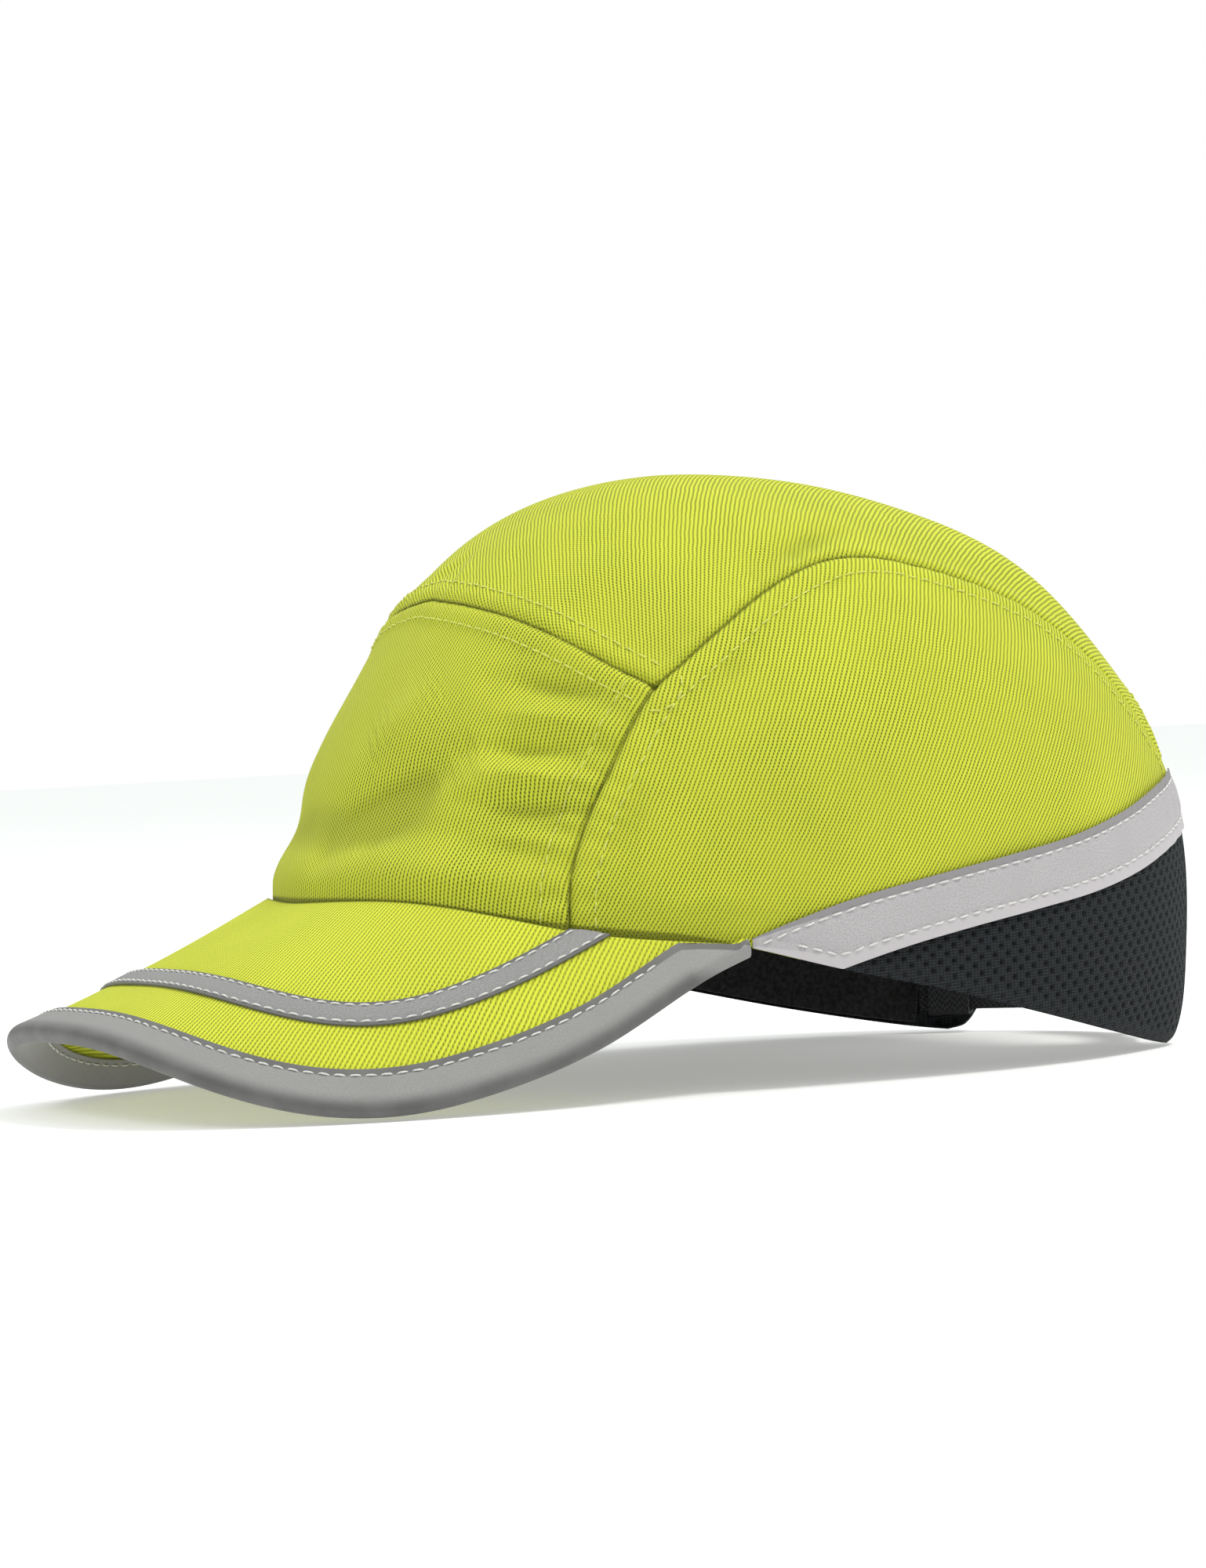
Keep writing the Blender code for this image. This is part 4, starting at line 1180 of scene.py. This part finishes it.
def build_strip(grey, white):
    back = rounded_front(*STRIP_BACK_EDGE, STRIP_ROOTS[0], 281)
    front = rounded_front(*STRIP_FRONT_EDGE, STRIP_ROOTS[1], 281)
    share = np.linspace(0, 1, 15)[:, None, None]
    plan = back * (1 - share) + front * share
    flat = share[..., 0]
    lift = 2.15 + 0.25 * np.sin(math.pi * flat) ** 0.6 - 0.2 * bell(flat - 0.17, 0.06)
    lift = lift - 0.2 * bell(flat - 0.83, 0.06) + np.zeros(plan.shape[:2])
    top = visor_layer(plan, lift)
    lengths = surface_lengths(top)
    lengths[..., 1] *= STRIP_WIDTH / lengths[-1:, :, 1]
    thick_sheet("visor_strip", top, visor_layer(plan, lift - 0.5), grey, "cap", "grey_reflective",
                "visor_reflective_strip", lengths)
    normal = visor_normal(plan[..., 0], plan[..., 1])
    rows = [np.concatenate([top[k], normal[k]], -1) for k in (2, 12)]
    add_stitches("visor_strip_stitches", rows, white, "cap", length=2.4)


def clearance(plan):
    """How many times further out each place is than the crown's foot in that direction."""
    azimuth = np.degrees(np.arctan2(plan[:, 1], plan[:, 0]))
    foot = crown_point(direction(azimuth, rim_elevation(azimuth) - 1.0))
    return np.linalg.norm(plan, axis=1) / np.linalg.norm(foot[:, :2], axis=1)


def build_binding(grey, white):
    """A tape folded round the visor's edge."""
    edge = visor_edge(0.0, 301)
    tangent = unit(np.gradient(edge, axis=0))
    inward = np.stack([tangent[:, 1], -tangent[:, 0]], -1)
    inward *= np.sign(np.sum(inward * ([0, -60] - edge), axis=1, keepdims=True))
    ahead = visor_height(*(edge + inward).T) - visor_height(*edge.T)
    flat_share = 1 / np.hypot(1, ahead)
    room = np.linalg.norm(edge, axis=1) * (1 - 1 / clearance(edge)) - 0.9

    def section(reach, height):
        shift = np.minimum(reach * flat_share, room) if reach > 0.5 else reach * flat_share
        return visor_layer(edge + inward * shift[:, None], height)

    def folded(radius, groove):
        """Over the edge from the upper face to the lower one."""
        rows = [section(e, radius + g) for e, g in zip(reaches, groove)]
        rows += [section(radius * math.cos(a), radius * math.sin(a)) for a in arc]
        rows += [section(e, -radius - g) for e, g in zip(reaches[::-1], groove[::-1])]
        return np.stack(rows)

    reaches = np.concatenate([np.linspace(BINDING_WIDTH, 1.0, 14), [0.5]])
    arc = np.radians(np.linspace(90, 270, 15))
    outer = folded(BINDING_OUTER, -0.14 * bell(reaches - BINDING_STITCH, 0.5))
    thick_sheet("visor_binding", outer, folded(BINDING_INNER, 0 * reaches), grey, "cap",
                "grey_reflective", "visor_edge_binding")
    normal = visor_normal(*edge.T)
    sewn = room > BINDING_STITCH + 0.5
    rows = [
        np.concatenate([section(BINDING_STITCH, side * 2.3), side * normal], -1)[sewn]
        for side in (1, -1)
    ]
    add_stitches("visor_binding_stitches", rows, white, "cap")


# ---------------------------------------------------------------- insert

def shell_rim(azimuth):
    off_front = np.abs((np.asarray(azimuth, float) + 270) % 360 - 180)
    return smooth(off_front, SHELL_RIM)


def build_shell(plastic, trim):
    """The CAD shell's cells, smoothed, so that its square vents become rounded ones."""
    azimuth = np.arange(SHELL_COLUMNS) * 360.0 / SHELL_COLUMNS
    share = np.linspace(0, 1, SHELL_ROWS + 1)[:, None]
    d = direction(azimuth, shell_rim(azimuth) + (SHELL_TOP - shell_rim(azimuth)) * share)
    layers = [crown_layer(d, offset, insert_flatness) for offset in SHELL_FACES]
    points = np.concatenate([layer.reshape(-1, 3) for layer in layers])
    count = len(points) // 2
    faces, edges = [], set()
    for r in range(SHELL_ROWS):
        for c in range(SHELL_COLUMNS):
            if (r in (2, 3) and c % 4 == 1) or (r == 5 and c % 8 == 3):
                continue
            a, b = r * SHELL_COLUMNS + c, r * SHELL_COLUMNS + (c + 1) % SHELL_COLUMNS
            ring = [a, b, b + SHELL_COLUMNS, a + SHELL_COLUMNS]
            faces += [ring, [i + count for i in reversed(ring)]]
            for a, b in zip(ring, ring[1:] + ring[:1]):
                edges ^= {(b, a)} if (b, a) in edges else {(a, b)}
    faces += [[b, a, a + count, b + count] for a, b in sorted(edges)]
    made = add_piece("hard_shell_moulding", points, faces, plastic, "shell_insert",
                     "hard_shell")
    subdivide(made, 2)
    build_shell_trim(trim)


def subdivide(made, levels):
    smoothing = made.modifiers.new("Smooth", "SUBSURF")
    smoothing.levels = smoothing.render_levels = levels


def build_shell_trim(trim):
    """A tape folded round the shell's rim, from sections of (offset, degrees above the rim)."""
    azimuth = np.arange(360) * 1.0
    rim = shell_rim(azimuth)
    middle, half, top = -5.8, 1.45, 2.2
    fold = [(middle + half * math.cos(a), -0.2 + 0.9 * math.sin(a))
            for a in np.radians(np.linspace(0, -180, 9))]
    outside = [(middle + half, top)] + fold + [(middle - half, top)]
    inside = [(middle + (o - middle) * 0.8, e if e == top else e + 0.25) for o, e in outside]
    outer, inner = (
        np.stack([crown_layer(direction(azimuth, rim + e), o, insert_flatness) for o, e in section])
        for section in (outside, inside)
    )
    thick_sheet("shell_trim_tape", outer, inner, trim, "shell_insert", "trim_cloth",
                "shell_rim_trim", closed=True)


def swell(pad, limit=0.7):
    """Puffs a pad up with cloth pressure, moving no point further than limit, in millimetres."""
    scene = bpy.context.scene
    finish = pad.data.materials[0]
    remesh = pad.modifiers.new("Remesh", "REMESH")
    remesh.mode = "VOXEL"
    remesh.voxel_size = 1.5 * MM
    graph = bpy.context.evaluated_depsgraph_get()
    even_mesh = bpy.data.meshes.new_from_object(pad.evaluated_get(graph))
    pad.modifiers.clear()
    pad.data = even_mesh
    rest = np.array([v.co for v in even_mesh.vertices])
    cloth = pad.modifiers.new("Cloth", "CLOTH")
    cloth.settings.use_pressure = True
    cloth.settings.uniform_pressure_force = 4
    cloth.settings.effector_weights.gravity = 0
    for number in range(1, 21):
        scene.frame_set(number)
    graph = bpy.context.evaluated_depsgraph_get()
    moved = np.array([v.co for v in pad.evaluated_get(graph).data.vertices])
    pad.modifiers.clear()
    scene.frame_set(1)
    shift = moved - rest
    size = np.linalg.norm(shift, axis=1, keepdims=True) + 1e-12
    shift *= np.minimum(1, limit * MM / size)
    even_mesh.vertices.foreach_set("co", (rest + shift).astype(np.float32).ravel())
    even_mesh.materials.clear()
    even_mesh.materials.append(finish)
    even_mesh.shade_smooth()
    even_mesh.update()


def build_pads(foam, hook, loop):
    pads = []
    for name, (middle, half, low, high) in PADS.items():
        azimuth = middle + np.linspace(-half, half, 40)
        d = direction(azimuth, np.linspace(low, high, 16)[:, None])
        pads.append(crown_sheet(name + "_foam", d, PAD_FACES, foam, "shell_insert", "pad_foam",
                                name, insert_flatness))
    pads.append(disc("crown_pad_foam", CROWN_PAD_EDGE, PAD_FACES, foam, "shell_insert", "pad_foam",
                     "crown_pad"))
    for pad in pads:
        swell(pad)
        subdivide(pad, 1)
    disc("hook_dot", DOT_EDGE, (-3.2, -4.5), hook, "shell_insert", "hook_tape", "crown_hook_dot",
         grain=0.12)
    disc("loop_dot", DOT_EDGE, (-1.5, -2.9), loop, "cap", "loop_tape", "crown_loop_dot", grain=0.12)


def disc(name, edge, offsets, finish, body, slot, node, grain=0.0):
    """A round piece at the top of the crown, with a rough lower face."""
    d = direction(np.arange(96) * 3.75, np.linspace(edge, CROWN_MIDDLE, 16)[:, None])
    rough = grain * RANDOM.uniform(-1, 1, d.shape[:2])
    offsets = (offsets[0], offsets[1] + rough)
    return crown_sheet(name, d, offsets, finish, body, slot, node, insert_flatness, closed=True)


# ---------------------------------------------------------------- strap

def upright_band(angles, outer, thickness, low, high, rows=13):
    """An upright band about the strap's centre, with a little roundness at its edges."""
    turn = np.radians(angles)
    height = np.linspace(low, high, rows)
    round_off = 0.28 * (bell(height - low, 0.8) + bell(height - high, 0.8))[:, None]
    grids = []
    for radius in (outer - round_off, outer - thickness + round_off):
        grids.append(about_strap(np.broadcast_to(radius, (rows, len(turn))), turn, height[:, None]))
    return grids


def about_strap(radius, turn, height):
    """Points about the strap's centre."""
    x, y = radius * np.sin(turn), ARC_CENTRE + radius * np.cos(turn)
    return np.stack([x, y, np.broadcast_to(height, x.shape)], -1)


def strap_rows(outer, height_rows):
    """Stitching along a band, at some of its grid rows."""
    rows = []
    for k in height_rows:
        centre = outer[k].copy()
        away = centre - [0, ARC_CENTRE, 0]
        away[:, 2] = 0
        rows.append(np.concatenate([centre, unit(away)], -1))
    return rows


def build_straps(webbing, hook, loop, grey):
    low, high = STRAP_BOTTOM, STRAP_BOTTOM + STRAP_HEIGHT

    def add_webbing(name, angles, outer, body, node):
        grids = upright_band(angles, outer, STRAP, low, high)
        thick_sheet(name, *grids, webbing, body, "strap_webbing", node)
        return grids[0]

    def add_fastening(kind, angles, outer, finish, body):
        grids = upright_band(angles, outer, 0.6, low + 1.5, high - 1.5, 25)
        thick_sheet(f"{kind}_tape_patch", *grids, finish, body, f"{kind}_tape", f"{kind}_patch")

    add_webbing("strap_root_webbing", np.linspace(-52, -30.12, 50), STRAP_OUTER, "strap_root",
                "strap_right_root")
    tail = add_webbing("strap_tail_webbing", np.linspace(-29.88, 12, 100), STRAP_OUTER,
                       "strap_tail", "strap_right_tail")
    add_stitches("strap_tail_stitches", strap_rows(tail, (1, 11)), grey, "strap_tail",
                 length=2.4, radius=0.2)
    add_fastening("hook", np.linspace(-8, 11, 60), 65.7, hook, "strap_tail")
    add_fastening("loop", np.linspace(-11.5, 25, 110), 64.8, loop, "left_strap")
    angles = np.linspace(-12, 47, 150)
    ramp = np.clip((angles - 31) / 16, 0, 1)
    radius = 63.9 + 4.1 * (3 - 2 * ramp) * ramp**2
    add_webbing("left_strap_webbing", angles, radius, "left_strap", "strap_left")
    build_channel(webbing)


def build_channel(webbing):
    """The sleeve that the strap slides in, as a closed tube."""
    angles = np.radians(np.linspace(-50, -41, 24))[:, None]
    grids = []
    for grow in (1.2, 0.4):
        low, high = STRAP_BOTTOM - grow, STRAP_BOTTOM + STRAP_HEIGHT + grow
        inner, outer = STRAP_OUTER - STRAP - grow, STRAP_OUTER + grow
        corners = np.array([(inner, low), (outer, low), (outer, high), (inner, high), (inner, low)])
        radius, height = even(corners, 73)[:-1].T
        grids.append(about_strap(radius, angles, height))
    thick_sheet("channel_webbing", *grids, webbing, "cap", "strap_webbing", "strap_channel",
                closed=True)


# ---------------------------------------------------------------- stage

CAMERA_AZIMUTH = 63.13
CAMERA_ELEVATION = 0.73
CAMERA_ROLL = 2.90
CAMERA_DISTANCE = 1.3
CAMERA_TARGET = np.array([0.0, 0.03345, 0.06954])
CAMERA_LENS = 128.5
CAMERA_SHIFT = (-0.0794, -0.0149)
SKY_TINT = (0.95, 1.0, 0.97)
SKY_RANGE = (0.0, 0.9, 0.15, 1.02)
LAMP_TINT = (1.0, 0.975, 0.94)
LAMP_TARGET = (0.0, 0.0, 0.06)
FLOOR_SIZE = 6.0
FLOOR_DROP = 0.0012
FLOOR_GREY = (0.80, 0.80, 0.80)
FLOOR_GLOW = 0.34


def build_camera():
    turn, rise, roll = (math.radians(a) for a in (CAMERA_AZIMUTH, CAMERA_ELEVATION, CAMERA_ROLL))
    flat = math.cos(rise)
    out = np.array([math.sin(turn) * flat, -math.cos(turn) * flat, math.sin(rise)])
    right = np.array([math.cos(turn), math.sin(turn), 0.0])
    up = np.cross(out, right)
    rolled_right = right * math.cos(roll) - up * math.sin(roll)
    rolled_up = right * math.sin(roll) + up * math.cos(roll)
    data = bpy.data.cameras.new("Camera")
    data.sensor_width = 36.0
    data.lens = CAMERA_LENS
    data.shift_x, data.shift_y = CAMERA_SHIFT
    data.clip_start, data.clip_end = 0.05, 20.0
    camera = bpy.data.objects.new("Camera", data)
    matrix = np.eye(4)
    matrix[:3, :3] = np.array([rolled_right, rolled_up, out]).T
    matrix[:3, 3] = CAMERA_TARGET + out * CAMERA_DISTANCE
    camera.matrix_world = Matrix(matrix.tolist())
    link(camera)
    bpy.context.scene.camera = camera


def add_light(name, place, size, power):
    data = bpy.data.lights.new(name, "AREA")
    data.shape = "DISK"
    data.size = size
    data.energy = power
    data.color = LAMP_TINT
    made = bpy.data.objects.new(name, data)
    made.location = place
    made.rotation_euler = (Vector(LAMP_TARGET) - Vector(place)).to_track_quat("-Z", "Y").to_euler()
    link(made)


def build_world():
    """A sky that is brighter overhead, behind which the camera sees plain white."""
    world = bpy.data.worlds.new("Studio")
    world.use_nodes = True
    nodes, links = world.node_tree.nodes, world.node_tree.links
    light, backdrop = nodes["Background"], nodes.new("ShaderNodeBackground")
    place, split = nodes.new("ShaderNodeTexCoord"), nodes.new("ShaderNodeSeparateXYZ")
    rise = nodes.new("ShaderNodeMapRange")
    set_range(rise, *SKY_RANGE)
    light.inputs[0].default_value = (*SKY_TINT, 1)
    backdrop.inputs[0].default_value = (1, 1, 1, 1)
    backdrop.inputs[1].default_value = 1.0
    mix, seen = nodes.new("ShaderNodeMixShader"), nodes.new("ShaderNodeLightPath")
    for source, target in (
        (place.outputs["Generated"], split.inputs[0]),
        (split.outputs[2], rise.inputs["Value"]),
        (rise.outputs[0], light.inputs[1]),
        (seen.outputs["Is Camera Ray"], mix.inputs[0]),
        (light.outputs[0], mix.inputs[1]),
        (backdrop.outputs[0], mix.inputs[2]),
        (mix.outputs[0], nodes["World Output"].inputs[0]),
    ):
        links.new(source, target)
    bpy.context.scene.world = world


def build_floor():
    mesh = bpy.data.meshes.new("Floor")
    corners = [(x * FLOOR_SIZE, y * FLOOR_SIZE, 0) for x, y in ((-1, -1), (1, -1), (1, 1), (-1, 1))]
    mesh.from_pydata(corners, [], [[0, 1, 2, 3]])
    paint = Shader("floor_paint", 0.9)
    paint.surface.inputs["Base Color"].default_value = (*FLOOR_GREY, 1)
    paint.surface.inputs["Emission Color"].default_value = (1, 1, 1, 1)
    paint.surface.inputs["Emission Strength"].default_value = FLOOR_GLOW
    mesh.materials.append(paint.material)
    floor = bpy.data.objects.new("Floor", mesh)
    floor.location = (0, 0, -FLOOR_DROP)
    link(floor)


def build_stage():
    build_world()
    bpy.context.scene.view_settings.view_transform = "Standard"
    add_light("Key", (0.8, 0.6, 1.85), 0.55, 22)
    add_light("Front", (-0.3, -1.5, 1.7), 0.9, 10)
    build_floor()


def main():
    build_camera()
    build_stage()
    lime_thread = thread("lime_thread", LIME_THREAD)
    white = thread("white_thread", WHITE_THREAD)
    grey_thread = thread("grey_thread", (0.12, 0.12, 0.13))
    # The twills differ in rib angle, in their share of painted hole shade and in painted lightness:
    # lighter and darker copies of one lime stand in for how each part faces the lamps.
    lime = twill("twill", 56, 0.9, 1.03)
    build_front_and_crown(lime, twill("twill_upright", 86, 1.0, 1.02), lime_thread)
    build_sides(twill("twill_side", 55, 0.9, 1.04), lime_thread)
    # Painted light on the tape's lower border and painted shade on its upper border, where the tape
    # curves away past its stitching.
    lit_low_border, shaded_high_border = (TAPE_STITCH_LOW, 1.16), (TAPE_STITCH_HIGH, 0.60)
    tape = reflective("side_reflective", TAPE_GREY, TAPE_WIDTH, lit_low_border, shaded_high_border)
    build_tapes(tape, white)
    build_mesh_panels(knit("birdseye_knit"))
    lining = woven("lining_weave", (0.03, 0.03, 0.035))
    terry = fuzzy("towelling", (0.022, 0.022, 0.024), 900, 0.3, 0.12)
    satin = woven("label_satin", (0.55, 0.55, 0.53), 0.5, 0.08, 0.04)
    build_lining(lining, terry, satin, grey_thread)
    visor_lime = twill("twill_visor", 30, 0.6, 1.09)
    board = moulded("board_plastic", (0.75, 0.75, 0.72), 0.5)
    border = (0.8, 0.45)
    strip = reflective("strip_reflective", STRIP_GREY, STRIP_WIDTH, border, border)
    build_visor(visor_lime, board, strip, binding_material("binding_reflective"), white)
    build_shell(moulded("shell_abs", (0.018, 0.018, 0.02), 0.35), woven("trim_weave", MESH_BLACK))
    hook = fuzzy("hook_texture", (0.02, 0.02, 0.021), 1500, 0.4, 0.1)
    loop = fuzzy("loop_texture", (0.028, 0.028, 0.03), 700, 0.35, 0.08)
    build_pads(fuzzy("eva_foam", (0.05, 0.05, 0.055), 1100, 0.15, 0.1, 0.2), hook, loop)
    build_straps(woven("webbing", WEBBING_BLACK, 1.6, 0.6, 0.2), hook, loop, grey_thread)


main()
